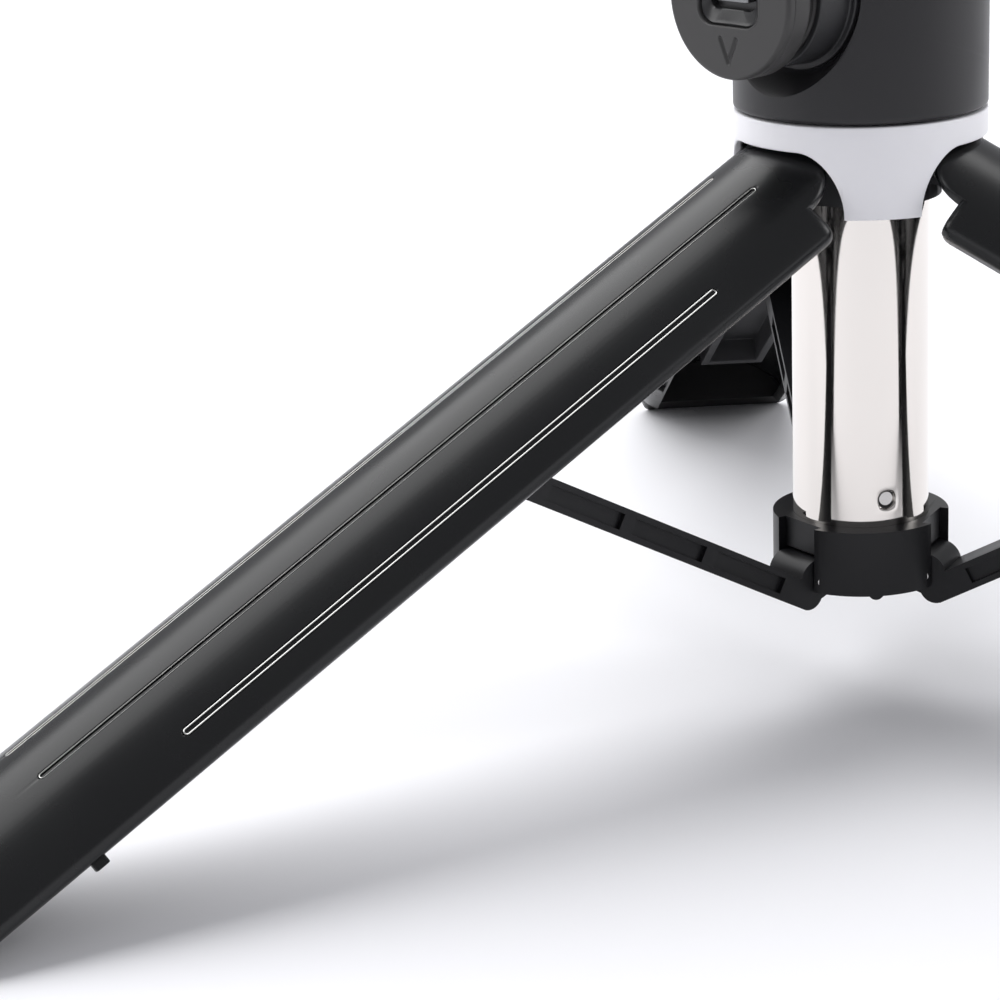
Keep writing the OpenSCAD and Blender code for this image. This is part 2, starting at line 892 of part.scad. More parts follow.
module clamp_frame() {
    color([0.1, 0.1, 0.11])
        difference() {
            union() {
                translate([-hinge_half, 0, tilt_z])
                    rotate([0, 90, 0]) cylinder(r = hinge_knuckle_r, h = 2 * hinge_half);
                translate([-hinge_half, frame_front, tilt_z])
                    cube([2 * hinge_half, frame_back - frame_front, frame_low - tilt_z + 1]);
                translate([-clamp_w / 2, frame_front, frame_low])
                    cube([clamp_w, frame_back - frame_front, upper_jaw_low - frame_low - 0.4]);
                translate([-clamp_w / 2, frame_front - jaw_deep, frame_low])
                    cube([clamp_w, jaw_deep + 1, jaw_t]);
                translate([-clamp_w / 2, frame_front - jaw_deep, frame_low])
                    cube([clamp_w, lip_t, jaw_t + lip_h]);
            }
            translate([0, 0, tilt_z])
                rotate([0, 90, 0]) cylinder(r = bolt_r + pin_fit, h = reach, center = true);
            for (x = [-rod_x, rod_x])
                translate([x, rod_y, lower_jaw_top]) cylinder(r = rod_r + 0.08, h = reach * 2);
            translate([0, rod_y, lower_jaw_top]) cylinder(r = spring_r + 0.4, h = reach * 2);
        }
}

module lower_jaw_pad() {
    color([0.25, 0.25, 0.26])
        translate([-clamp_w / 2 + pad_in, frame_front - jaw_deep + lip_t + 0.2, lower_jaw_top])
            cube([clamp_w - 2 * pad_in, jaw_deep - lip_t - 0.4, pad_t]);
}

module upper_jaw() {
    color([0.1, 0.1, 0.11])
        difference() {
            union() {
                translate([-clamp_w / 2, frame_front - jaw_deep, upper_jaw_low])
                    cube([clamp_w, jaw_deep + frame_back - frame_front, jaw_t]);
                translate([-clamp_w / 2, frame_front - jaw_deep, upper_jaw_low - lip_h])
                    cube([clamp_w, lip_t, jaw_t]);
            }
            for (x = [-rod_x, rod_x])
                translate([x, rod_y, upper_jaw_low - 1]) cylinder(r = rod_r, h = 4);
        }
}

module upper_jaw_pad() {
    color([0.25, 0.25, 0.26])
        translate([-clamp_w / 2 + pad_in, frame_front - jaw_deep + lip_t + 0.2, upper_jaw_low - pad_t])
            cube([clamp_w - 2 * pad_in, jaw_deep - lip_t - 0.4, pad_t]);
}

module guide_rods() {
    color([0.8, 0.8, 0.82])
        for (x = [-rod_x, rod_x])
            translate([x, rod_y, lower_jaw_top + 1.5])
                cylinder(r = rod_r, h = upper_jaw_low - lower_jaw_top - 1.5 + 3);
}

module clamp_spring() {
    color([0.7, 0.7, 0.7])
        translate([0, rod_y, lower_jaw_top + 0.5])
            difference() {
                cylinder(r = spring_r, h = upper_jaw_low - lower_jaw_top - 0.5);
                translate([0, 0, -1]) cylinder(r = spring_r - spring_wall, h = 2 * clamp_open);
            }
}

collar_shell();
leg_hub();
hinge_pins();
pole_tube();
pole_plug();
plug_pin();
strut_ring();
strut_pins();
ring_screw();
head_housing();
head_cap();
pole_guide();
shutter_switch();
remote_socket();
at_leg(left_az) leg_shell();  // left_leg_shell
at_leg(left_az) leg_trim();  // left_leg_trim
at_leg(left_az) leg_bracket();  // left_leg_bracket
at_leg(left_az) leg_track();  // left_leg_track
standing_foot(left_az);  // left_foot
at_leg(right_az) leg_shell();  // right_leg_shell
at_leg(right_az) leg_trim();  // right_leg_trim
at_leg(right_az) leg_bracket();  // right_leg_bracket
at_leg(right_az) leg_track();  // right_leg_track
standing_foot(right_az);  // right_foot
at_leg(back_az) leg_shell();  // back_leg_shell
at_leg(back_az) leg_trim();  // back_leg_trim
at_leg(back_az) leg_bracket();  // back_leg_bracket
at_leg(back_az) leg_track();  // back_leg_track
standing_foot(back_az);  // back_foot
at_strut(left_az) strut_bar();  // left_strut
at_strut(right_az) strut_bar();  // right_strut
at_strut(back_az) strut_bar();  // back_strut
at_strut(left_az) strut_glide();  // left_strut_glide
at_strut(right_az) strut_glide();  // right_strut_glide
at_strut(back_az) strut_glide();  // back_strut_glide
pole_section(1);  // pole_section_1
pole_section(2);  // pole_section_2
pole_section(3);  // pole_section_3
section_slider(1);  // section_slider_1
section_slider(2);  // section_slider_2
section_slider(3);  // section_slider_3
shutter_button();
remote_shell();
remote_face_cap();
remote_port();
port_tongue();
remote_board();
remote_cell();
clamp_yoke();
tilt_bolt();
tilt_nut();
clamp_frame();
lower_jaw_pad();
upper_jaw();
upper_jaw_pad();
guide_rods();
clamp_spring();
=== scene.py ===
"""Selfie stick with a folding tripod handle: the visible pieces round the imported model."""

import json
import math

import bmesh
import bpy
import numpy as np
from mathutils import Matrix, Vector


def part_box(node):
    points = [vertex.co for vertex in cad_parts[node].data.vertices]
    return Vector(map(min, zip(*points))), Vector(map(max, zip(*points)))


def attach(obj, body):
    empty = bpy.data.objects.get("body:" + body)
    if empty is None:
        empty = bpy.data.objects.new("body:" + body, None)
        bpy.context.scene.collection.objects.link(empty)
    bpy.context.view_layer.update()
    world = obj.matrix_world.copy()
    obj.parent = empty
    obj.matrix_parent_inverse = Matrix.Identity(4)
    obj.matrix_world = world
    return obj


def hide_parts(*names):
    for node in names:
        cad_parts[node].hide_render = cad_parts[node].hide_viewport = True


bl_info = {
    "name": "Folding tripod selfie stick",
    "version": (1, 0, 0),
    "blender": (4, 5, 0),
    "location": "View3D > Sidebar > Selfie stick",
    "description": "Builds the visible pieces of a selfie stick whose handle opens into a tripod",
    "category": "Object",
}

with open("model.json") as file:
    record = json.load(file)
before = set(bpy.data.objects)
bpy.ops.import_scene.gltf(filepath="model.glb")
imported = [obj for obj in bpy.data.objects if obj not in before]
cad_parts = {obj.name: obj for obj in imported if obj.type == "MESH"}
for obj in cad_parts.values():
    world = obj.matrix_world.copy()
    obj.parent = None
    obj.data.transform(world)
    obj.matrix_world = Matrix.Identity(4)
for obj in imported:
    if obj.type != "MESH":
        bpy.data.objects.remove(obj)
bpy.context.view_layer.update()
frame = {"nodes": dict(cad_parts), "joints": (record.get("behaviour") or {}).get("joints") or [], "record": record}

MM = 0.001
SIDES = ("left", "right", "back")
JOINTS = {joint["name"]: joint for joint in frame["joints"]}
BODY_OF = {
    node: body
    for body, nodes in frame["record"]["behaviour"]["bodies"].items()
    for node in nodes
}
SLOT_OF = {part["node"]: part["material_slot"] for part in frame["record"]["subparts"]}
SHARP_ANGLE = math.radians(38)  # an edge bent by more than this stays sharp, or is rounded on an eased copy
WELD = 2e-6  # metres; nearer points become one
QUARTER = np.radians([0, 30, 60, 90])  # steps of a quarter-round edge


def node_low(node):
    """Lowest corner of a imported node, in millimetres."""
    return np.array(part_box(node)[0]) / MM


def node_high(node):
    """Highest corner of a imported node, in millimetres."""
    return np.array(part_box(node)[1]) / MM


COLLAR_LOW = float(node_low("collar_shell")[2])
COLLAR_TOP = float(node_high("collar_shell")[2])
HEAD_LOW = float(node_low("head_housing")[2])
HEAD_TOP = float(node_high("head_housing")[2])
HANDLE_R = float(node_high("head_housing")[0])
POLE_LOW = float(node_low("pole_tube")[2])
POLE_TOP = float(node_high("pole_tube")[2])
POLE_R = float(node_high("pole_tube")[0])
HINGE = np.array(JOINTS["back_leg_fold"]["pos_m"]) / MM
HINGE_R = float(math.hypot(HINGE[0], HINGE[1]))
HINGE_Z = float(HINGE[2])
REMOTE_AXIS = np.array(JOINTS["remote_pull"]["axis"])
REMOTE_Z = float((node_low("remote_face_cap")[2] + node_high("remote_face_cap")[2]) / 2)
REMOTE_R = float((node_high("remote_face_cap")[2] - node_low("remote_face_cap")[2]) / 2)


class StickSizes(bpy.types.PropertyGroup):
    """Sizes of the visible pieces, in millimetres."""

    leg_length: bpy.props.FloatProperty(
        name="Leg length", description="From a leg's hinge to the end of its foot",
        default=156.0, min=150.0, max=165.0,
    )
    foot_length: bpy.props.FloatProperty(
        name="Foot length", description="Length of the foot on a leg's end",
        default=8.0, min=7.0, max=10.0,
    )
    leg_wall: bpy.props.FloatProperty(
        name="Leg wall", description="Wall of a leg", default=1.6, min=1.2, max=2.0
    )
    leg_corner: bpy.props.FloatProperty(
        name="Leg corner", description="Radius along a leg's long edges", default=2.0, min=1.0, max=2.4
    )
    groove_width: bpy.props.FloatProperty(
        name="Groove width", description="Width of the trim grooves", default=1.1, min=0.8, max=1.4
    )
    groove_depth: bpy.props.FloatProperty(
        name="Groove depth", description="Depth of the trim grooves", default=0.5, min=0.3, max=0.6
    )
    edge: bpy.props.FloatProperty(
        name="Edge rounding", description="Radius that eases the edges of the legs",
        default=0.35, min=0.1, max=0.6,
    )


class StickColours(bpy.types.PropertyGroup):
    """Colours of the main finishes."""

    leg_black: bpy.props.FloatVectorProperty(
        name="Leg black", description="Moulded legs", subtype="COLOR",
        default=(0.0062, 0.0066, 0.0072), min=0, max=1,
    )
    head_charcoal: bpy.props.FloatVectorProperty(
        name="Head charcoal", description="Head housing", subtype="COLOR",
        default=(0.016, 0.0155, 0.0175), min=0, max=1,
    )
    collar_silver: bpy.props.FloatVectorProperty(
        name="Collar silver", description="Painted collar", subtype="COLOR",
        default=(0.86, 0.855, 0.885), min=0, max=1,
    )
    remote_grey: bpy.props.FloatVectorProperty(
        name="Remote grey", description="Plug-in remote", subtype="COLOR",
        default=(0.033, 0.032, 0.032), min=0, max=1,
    )
    floor: bpy.props.FloatVectorProperty(
        name="Floor", description="Studio floor", subtype="COLOR",
        default=(0.86, 0.86, 0.885), min=0, max=1,
    )


# ---------------------------------------------------------------- materials


def new_group(name, inputs, outputs):
    """An empty shader node group with named float inputs (name, default) and float outputs."""
    group = bpy.data.node_groups.new(name, "ShaderNodeTree")
    for label, value in inputs:
        socket = group.interface.new_socket(name=label, in_out="INPUT", socket_type="NodeSocketFloat")
        socket.default_value = value
    for label in outputs:
        group.interface.new_socket(name=label, in_out="OUTPUT", socket_type="NodeSocketFloat")
    return group, group.nodes.new("NodeGroupInput"), group.nodes.new("NodeGroupOutput")


def object_noise(group, scale, detail, stretch=(1, 1, 1)):
    """Noise on Object coordinates, stretched along the axes. scale is a number or a socket."""
    place = group.nodes.new("ShaderNodeTexCoord")
    mapping = group.nodes.new("ShaderNodeMapping")
    mapping.inputs["Scale"].default_value = stretch
    noise = group.nodes.new("ShaderNodeTexNoise")
    noise.inputs["Detail"].default_value = detail
    group.links.new(place.outputs["Object"], mapping.inputs["Vector"])
    group.links.new(mapping.outputs["Vector"], noise.inputs["Vector"])
    if isinstance(scale, (int, float)):
        noise.inputs["Scale"].default_value = scale
    else:
        group.links.new(scale, noise.inputs["Scale"])
    return noise.outputs["Fac"]


def ranged(group, value, low, high):
    """Maps a mask's middle range, 0.3 to 0.7, to the range between two sockets."""
    node = group.nodes.new("ShaderNodeMapRange")
    node.inputs["From Min"].default_value = 0.3
    node.inputs["From Max"].default_value = 0.7
    group.links.new(value, node.inputs["Value"])
    group.links.new(low, node.inputs["To Min"])
    group.links.new(high, node.inputs["To Max"])
    return node.outputs["Result"]


def moulded_grain_group():
    """Fine spark-eroded grain with broad patches of handling on it."""
    inputs = [("Grain scale", 2600.0), ("Low roughness", 0.3), ("High roughness", 0.42)]
    group, given, out = new_group("moulded_grain", inputs, ["Height", "Roughness", "Patch"])
    fine = object_noise(group, given.outputs["Grain scale"], 3)
    broad = object_noise(group, 55, 4)
    group.links.new(fine, out.inputs["Height"])
    group.links.new(broad, out.inputs["Patch"])
    rough = ranged(group, broad, given.outputs["Low roughness"], given.outputs["High roughness"])
    group.links.new(rough, out.inputs["Roughness"])
    return group


def drawn_metal_group():
    """Long faint lines left by drawing or brushing along Z, with dull finger marks."""
    inputs = [("Line scale", 900.0), ("Low roughness", 0.05), ("High roughness", 0.12)]
    group, given, out = new_group("drawn_metal", inputs, ["Height", "Roughness", "Patch"])
    lines = object_noise(group, given.outputs["Line scale"], 4, (1, 1, 0.02))
    marks = object_noise(group, 90, 5)
    group.links.new(lines, out.inputs["Height"])
    group.links.new(marks, out.inputs["Patch"])
    rough = ranged(group, marks, given.outputs["Low roughness"], given.outputs["High roughness"])
    group.links.new(rough, out.inputs["Roughness"])
    return group


def surface(name, group, colour, roughness, scale, bump=4e-6, shift=0.12, **plain):
    """A Principled material whose group gives bump and roughness; colour drifts by shift over the patches.

    bump is in metres, roughness is a low and a high value, and plain is set on the shader's own sockets.
    """
    material = bpy.data.materials.new(name)
    material.use_nodes = True
    tree = material.node_tree
    shader = tree.nodes["Principled BSDF"]
    for label, value in plain.items():
        shader.inputs[label.replace("_", " ")].default_value = value
    detail = tree.nodes.new("ShaderNodeGroup")
    detail.node_tree = group
    detail.inputs[0].default_value = scale
    detail.inputs["Low roughness"].default_value = roughness[0]
    detail.inputs["High roughness"].default_value = roughness[1]
    mix = tree.nodes.new("ShaderNodeMix")
    mix.data_type = "RGBA"
    mix.inputs["A"].default_value = (*[c * (1 - shift) for c in colour], 1)
    mix.inputs["B"].default_value = (*[min(1, c * (1 + shift)) for c in colour], 1)
    relief = tree.nodes.new("ShaderNodeBump")
    relief.inputs["Distance"].default_value = bump
    tree.links.new(detail.outputs["Patch"], mix.inputs["Factor"])
    tree.links.new(mix.outputs["Result"], shader.inputs["Base Color"])
    tree.links.new(detail.outputs["Roughness"], shader.inputs["Roughness"])
    tree.links.new(detail.outputs["Height"], relief.inputs["Height"])
    tree.links.new(relief.outputs["Normal"], shader.inputs["Normal"])
    return material


def make_materials(colours):
    """One material for each finish, keyed by the record's slot."""
    grain = moulded_grain_group()
    drawn = drawn_metal_group()
    steel = {"Metallic": 1.0}
    return {
        "black_body": surface(
            "leg_black_satin", grain, colours.leg_black, (0.24, 0.30), 2400,
            bump=1.2e-6, Specular_IOR_Level=0.36,
        ),
        "leg_trim": surface("trim_gloss", drawn, (0.62, 0.62, 0.6), (0.22, 0.32), 1500, bump=5e-7, **steel),
        "foot_rubber": surface("foot_rubber", grain, (0.0075, 0.0075, 0.008), (0.36, 0.46), 1700, bump=3e-6),
        "inner_black": surface("inner_black", grain, (0.018, 0.018, 0.02), (0.46, 0.58), 1500, bump=5e-6),
        "steel": surface("pin_steel", drawn, (0.6, 0.59, 0.58), (0.18, 0.32), 1200, **steel),
        "pole_chrome": surface(
            "pole_chrome", drawn, (0.76, 0.725, 0.69), (0.045, 0.10), 700, bump=2e-7, shift=0.02, **steel
        ),
        "strut_black": surface(
            "strut_black", grain, (0.009, 0.009, 0.0105), (0.36, 0.48), 1900,
            bump=3e-6, Specular_IOR_Level=0.3,
        ),
        "head_charcoal": surface(
            "head_charcoal", grain, colours.head_charcoal, (0.36, 0.44), 2600,
            bump=2.5e-6, Specular_IOR_Level=0.4,
        ),
        "collar_silver": surface(
            "collar_silver", grain, colours.collar_silver, (0.30, 0.38), 3000, bump=2e-6, shift=0.015
        ),
        "cap_silver": surface("cap_silver", drawn, (0.62, 0.62, 0.64), (0.24, 0.34), 1400, **steel),
        "nylon_white": surface("nylon_white", grain, (0.7, 0.7, 0.66), (0.4, 0.5), 1500),
        "remote_grey": surface("remote_grey", grain, colours.remote_grey, (0.40, 0.52), 2100),
        "port_black": surface("port_black", grain, (0.02, 0.02, 0.021), (0.28, 0.4), 1800, bump=2e-6),
        # The contact metal is kept dark, 0.22, well below the other metals: painted shade for the tongue that sits
        # deep in the port.
        "contact_metal": surface("contact_metal", drawn, (0.22, 0.225, 0.23), (0.3, 0.42), 1500, **steel),
        "board_green": surface("board_green", grain, (0.01, 0.08, 0.03), (0.3, 0.45), 1500),
        "cell_metal": surface("cell_metal", drawn, (0.6, 0.6, 0.61), (0.2, 0.3), 1200, **steel),
        "pad_silicone": surface("pad_silicone", grain, (0.03, 0.03, 0.032), (0.55, 0.7), 1300, bump=6e-6),
        "spring_steel": surface("spring_steel", drawn, (0.5, 0.5, 0.5), (0.2, 0.3), 1200, **steel),
    }


MATERIALS = {}


# ---------------------------------------------------------------- mesh helpers


def quads(rows, cols, close_rows=False, close_cols=False):
    """Quad indices over a rows x cols grid of points stored row by row."""
    i = np.arange(rows if close_rows else rows - 1)
    j = np.arange(cols if close_cols else cols - 1)
    i, j = np.meshgrid(i, j, indexing="ij")
    below, beside = (i + 1) % rows, (j + 1) % cols
    faces = np.stack([i * cols + j, i * cols + beside, below * cols + beside, below * cols + j], -1)
    return faces.reshape(-1, 4)


def lofted(rings, half):
    """A closed solid from rings of points: quads from ring to ring, and across the first and the last ring.

    A ring's points run one way along one edge, half of them, and back along the other.
    """
    count = rings.shape[1]
    k = np.arange(half - 1)
    cap = np.stack([k, k + 1, count - 2 - k, count - 1 - k], -1)
    sides = quads(len(rings), count, close_cols=True)
    return rings.reshape(-1, 3), np.concatenate([sides, cap, cap + (len(rings) - 1) * count])


def link_piece(mesh, node, slot):
    """An object for a mesh: it gets its slot's material, rides on its node's body and hides the node."""
    mesh.shade_smooth()
    mesh.set_sharp_from_angle(angle=SHARP_ANGLE)
    mesh.materials.append(MATERIALS[slot])
    piece = bpy.data.objects.new(mesh.name, mesh)
    bpy.context.scene.collection.objects.link(piece)
    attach(piece, BODY_OF[node])
    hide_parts(node)
    return piece


def add_piece(name, parts, node, slot=None):
    """A piece from (points, faces) parts in millimetres, welded and facing outwards."""
    points, faces, start = [], [], 0
    for part_points, part_faces in parts:
        points.append(np.asarray(part_points, float).reshape(-1, 3))
        faces += [tuple(int(k) + start for k in face) for face in part_faces]
        start += len(points[-1])
    mesh = bpy.data.meshes.new(name)
    mesh.from_pydata((np.concatenate(points) * MM).tolist(), [], faces)
    work = bmesh.new()
    work.from_mesh(mesh)
    bmesh.ops.remove_doubles(work, verts=work.verts, dist=WELD)
    bmesh.ops.dissolve_degenerate(work, edges=work.edges, dist=WELD / 2)
    bmesh.ops.recalc_face_normals(work, faces=work.faces)
    work.to_mesh(mesh)
    work.free()
    link_piece(mesh, node, slot or SLOT_OF[node])


def polar(radius, angle, z):
    """Points about Z from their radius, angle and height, which are numbers or arrays that fit each other."""
    return np.stack(np.broadcast_arrays(radius * np.cos(angle), radius * np.sin(angle), z), -1)


def layer(outline, z):
    """A flat outline lifted to a height, or to a height for each point."""
    return np.column_stack([outline, np.broadcast_to(z, len(outline))])


def turned(profile, steps, closed=True):
    """A surface of revolution about Z: each (radius, height) of the profile carried round in equal angles."""
    profile = np.asarray(profile, float)
    turn = np.linspace(0, 2 * np.pi, steps, endpoint=False)
    points = polar(profile[:, 0:1], turn, profile[:, 1:2])
    return points.reshape(-1, 3), quads(len(profile), steps, close_rows=closed, close_cols=True)


def arc(centre, radius, start, end, count):
    """Points on a circle arc from start to end degrees."""
    a = np.radians(np.linspace(start, end, count))
    return np.stack([centre[0] + radius * np.cos(a), centre[1] + radius * np.sin(a)], -1)


def along_remote(points):
    """Puts points modelled about Z on the remote's axis: Z runs out of the head, X sideways, Y upwards."""
    points = np.asarray(points, float).reshape(-1, 3)
    side = np.array([-REMOTE_AXIS[1], REMOTE_AXIS[0], 0])
    out = points[:, 2:3] * REMOTE_AXIS + points[:, 0:1] * side + points[:, 1:2] * np.array([0, 0, 1])
    return out + np.array([0, 0, REMOTE_Z])


def superbox(centre, half, power, steps):
    """A rounded box: a superellipsoid, whose three coordinates are signed powers of the sphere's."""
    u = np.linspace(-np.pi / 2, np.pi / 2, steps)[:, None]
    v = np.linspace(-np.pi, np.pi, 2 * steps, endpoint=False)[None, :]

    def raised(value):
        return np.sign(value) * np.abs(value) ** (2 / power)

    x = raised(np.cos(u)) * raised(np.cos(v))
    y = raised(np.cos(u)) * raised(np.sin(v))
    z = raised(np.sin(u)) * np.ones_like(v)
    points = np.stack([x, y, z], -1).reshape(-1, 3) * np.array(half) + np.array(centre)
    return points, quads(steps, 2 * steps, close_cols=True)


def leg_place(points, side):
    """Swings points of a stowed leg on the +X side out by its spread, then turns them to its own side."""
    joint = JOINTS[f"{side}_leg_fold"]
    spread = math.radians(joint["range_deg"][1])
    azimuth = math.atan2(joint["pos_m"][1], joint["pos_m"][0])
    points = np.asarray(points, float).reshape(-1, 3)
    out, up = points[:, 0] - HINGE_R, points[:, 2] - HINGE_Z
    x = HINGE_R + out * math.cos(spread) - up * math.sin(spread)
    z = HINGE_Z + up * math.cos(spread) + out * math.sin(spread)
    y = points[:, 1]
    c, s = math.cos(azimuth), math.sin(azimuth)
    return np.stack([x * c - y * s, x * s + y * c, z], -1)


def on_leg(parts, side):
    """The same parts on one of the three legs, at rest."""
    return [(leg_place(points, side), faces) for points, faces in parts]


def spread_values(*values):
    """Sorted values with near repeats dropped."""
    return np.unique(np.round(np.concatenate([np.atleast_1d(v) for v in values]), 4))


# ---------------------------------------------------------------- legs

LEG_GAP = 0.25  # from a leg's side plane to the plane midway to the next leg
HALF_SECTOR = math.radians(60)  # half of a stowed leg's share of the handle
FLANGE_IN = 12.9  # inner end of the side flanges, along the side plane
STRAIGHT_TOP = 66.4  # height at which the shell starts to rise to its arch
# For each groove: degrees from the leg's middle, lowest and highest point when stowed, radius of its wire.
GROOVES = (
    (-15.2, -55.3, 65.9, 0.075),
    (15.2, -55.3, 65.9, 0.075),
    (-42.3, -39.6, 50.4, 0.125),
    (42.3, -39.6, 50.4, 0.125),
)
GROOVE_HALF = 0.55  # half width that the next two rows of numbers are drawn for
GROOVE_COLUMNS = np.array([-1.6, -1.15, -0.95, -0.8, -0.7, -0.62, -0.55, -0.48, -0.4, -0.3, -0.15])
GROOVE_ENDS = np.array([-0.2, 0, 0.05, 0.1, 0.16, 0.24, 0.32, 0.42, 0.55, 0.8, 1.2])
GROOVE_LIP = 0.16  # width of the slope at a groove's edge
ARCH_TOP_W, ARCH_LOW_W, ARCH_RISE = 5.3, 10.9, 6.4
ARCH_STEP = 0.05  # this far past the arch the top edge drops to the shoulder
SHOULDER_STEP = 0.06  # and here stands the first column of the shoulder
ARCH_CREST, ARCH_PULL = 1.4, 0.5  # how deep the arch's edge is rounded, and its walls' pull as a share of it
SHOULDER_Z = COLLAR_LOW - 0.6
FOOT_INNER = 8.0  # flat inner face of a foot
FOOT_TIP_R = 3  # the foot's radius at its tip starts this far beyond its inner face
FOOT_FLANGE = 0.57  # where a foot's side faces start, as a share of the way to its inner face
FOOT_SEAM = 0.12  # gap between the shell and the foot
PEG_OUT, PEG_SIDE, PEG_DROP = 14.0, 0.2, 130.6  # along the side plane, off it, and below the hinge
PEG_HALF = (0.7, 0.65, 1.0)


def leg_corner_angle(radius, corner):
    """Angle at which the corner's circle centre stands, so it touches both the skin and the side plane."""
    return HALF_SECTOR - math.asin((corner + LEG_GAP) / (radius - corner))


def along_side(along, offset):
    """Points on a line parallel to the leg's side plane, offset from it into the leg."""
    c, s = math.cos(HALF_SECTOR), math.sin(HALF_SECTOR)
    return np.stack([along * c + offset * s, along * s - offset * c], -1)


def leg_section(radius, corner, inner_reach, arc_angles):
    """A leg's outline, and how many of its points lie before the skin.

    It runs out along one side plane, round the corner, over the skin, round the other corner and back in.
    arc_angles are the skin's angles in radians, between the two corner centres.
    """
    tilt = leg_corner_angle(radius, corner)
    centre = ((radius - corner) * math.cos(tilt), (radius - corner) * math.sin(tilt))
    reach = (radius - corner) * math.cos(HALF_SECTOR - tilt)
    flange = along_side(np.linspace(inner_reach, reach, 4)[:-1], LEG_GAP)
    bend = arc(centre, corner, math.degrees(HALF_SECTOR) + 90, math.degrees(tilt), 11)
    upper = np.concatenate([flange, bend])
    skin = polar(radius, arc_angles, 0)[::-1, :2]
    return np.concatenate([upper, skin[1:-1], (upper * [1, -1])[::-1]]), len(upper)


def leg_inside(radius, wall, count_side, arc_angles):
    """Inner outline with as many points as leg_section gives: the side flange's back, then the inner skin."""
    offset = LEG_GAP + wall
    inner = radius - wall
    meet = math.sqrt(inner**2 - offset**2)
    back = along_side(np.linspace(FLANGE_IN, meet, count_side), offset)
    limit = math.atan2(back[-1, 1], back[-1, 0])
    skin = polar(inner, arc_angles * limit / arc_angles[-1], 0)[::-1, :2]
    return np.concatenate([back, skin[1:-1], (back * [1, -1])[::-1]])


def arch_height(across):
    """Height of a leg's top edge: flat in the middle, a quarter ellipse down each side, then the shoulder."""
    s = np.abs(across)
    share = np.clip((s - ARCH_TOP_W) / (ARCH_LOW_W - ARCH_TOP_W), 0, 1)
    height = COLLAR_LOW + ARCH_RISE * np.sqrt(1 - share**2)
    return np.where(s > ARCH_LOW_W + ARCH_STEP, SHOULDER_Z, height)


def groove_depth(angle, z, sizes):
    """Depth cut into the skin: full inside each slot with round ends, easing to nothing over its lip."""
    half = sizes.groove_width / 2
    depth = np.zeros(np.broadcast(angle, z).shape)
    for centre, low, high, _ in GROOVES:
        sideways = (angle - math.radians(centre)) * HANDLE_R
        beyond = np.maximum(np.maximum(z - (high - half), (low + half) - z), 0)
        distance = np.hypot(sideways, beyond) - half
        share = np.clip(0.5 - distance / GROOVE_LIP, 0, 1)
        depth = np.maximum(depth, sizes.groove_depth * share * share * (3 - 2 * share))
    return depth


def casing_parts(sizes):
    """A leg's shell: the section carried along the leg, grooves pressed in, the top cut to the collar's arch.

    Each row is the section at one height or rising to the arch. pull is how far the row's two walls are drawn
    towards each other: quarter circles round the bottom edge and the arch's edge.
    """
    half = sizes.groove_width / 2
    limit = leg_corner_angle(HANDLE_R, sizes.leg_corner)
    near = GROOVE_COLUMNS * half / GROOVE_HALF
    near = np.concatenate([near, -near, [0]]) / HANDLE_R
    bend = np.sin(np.linspace(0, np.pi / 2, 12))
    arch = np.arcsin((ARCH_TOP_W + (ARCH_LOW_W - ARCH_TOP_W) * bend) / HANDLE_R)
    shoulder = np.arcsin((ARCH_LOW_W + SHOULDER_STEP) / HANDLE_R)
    plain = np.linspace(-limit, limit, 37)
    grooved = [math.radians(groove[0]) + near for groove in GROOVES]
    angles = spread_values(plain, arch, -arch, [shoulder, -shoulder], *grooved)
    angles = angles[(angles >= -limit - 1e-4) & (angles <= limit + 1e-4)]
    outline, side_count = leg_section(HANDLE_R, sizes.leg_corner, FLANGE_IN, angles)
    inside = leg_inside(HANDLE_R, sizes.leg_wall, side_count, angles)
    low, high = HINGE_Z - sizes.leg_length + sizes.foot_length, STRAIGHT_TOP
    ends = [groove[1] + GROOVE_ENDS for groove in GROOVES] + [groove[2] - GROOVE_ENDS for groove in GROOVES]
    stations = spread_values(np.linspace(low, high, 30), *ends)
    ease = sizes.edge
    top = arch_height(outline[:, 1])
    rows_z = [np.full(len(outline), low + ease * (1 - math.sin(a))) for a in QUARTER[::-1]]
    pull = [ease * (1 - math.cos(a)) for a in QUARTER[::-1]]
    for z in stations[stations > low + ease]:
        rows_z.append(np.full(len(outline), z))
        pull.append(0)
    for share in (0.25, 0.5, 0.75, 0.92):
        rows_z.append(high + (top - ARCH_CREST - high) * share)
        pull.append(0)
    for a in np.radians([0, 18, 36, 54, 72, 90]):
        rows_z.append(top - ARCH_CREST * (1 - math.sin(a)))
        pull.append(ARCH_PULL * ARCH_CREST * (1 - math.cos(a)))
    rows_z, pull = np.array(rows_z), np.array(pull)[:, None]
    angle = np.arctan2(outline[:, 1], outline[:, 0])[None, :]
    depth = groove_depth(angle, rows_z, sizes)
    depth[:, :side_count] = 0
    depth[:, -side_count:] = 0
    radius = np.hypot(outline[:, 0], outline[:, 1])[None, :]
    towards = (inside - outline) / np.linalg.norm(inside - outline, axis=1)[:, None]

    def rows(flat, sign, sunk):
        plane = flat[None, :, :] + sign * pull[:, :, None] * towards[None, :, :]
        plane = plane * (1 - sunk / radius)[:, :, None]
        return np.concatenate([plane, rows_z[:, :, None]], -1)

    outer = rows(outline, 1, depth)
    inner = rows(inside, -1, np.zeros_like(depth))[:, ::-1]
    return [lofted(np.concatenate([outer, inner], 1), len(outline))]


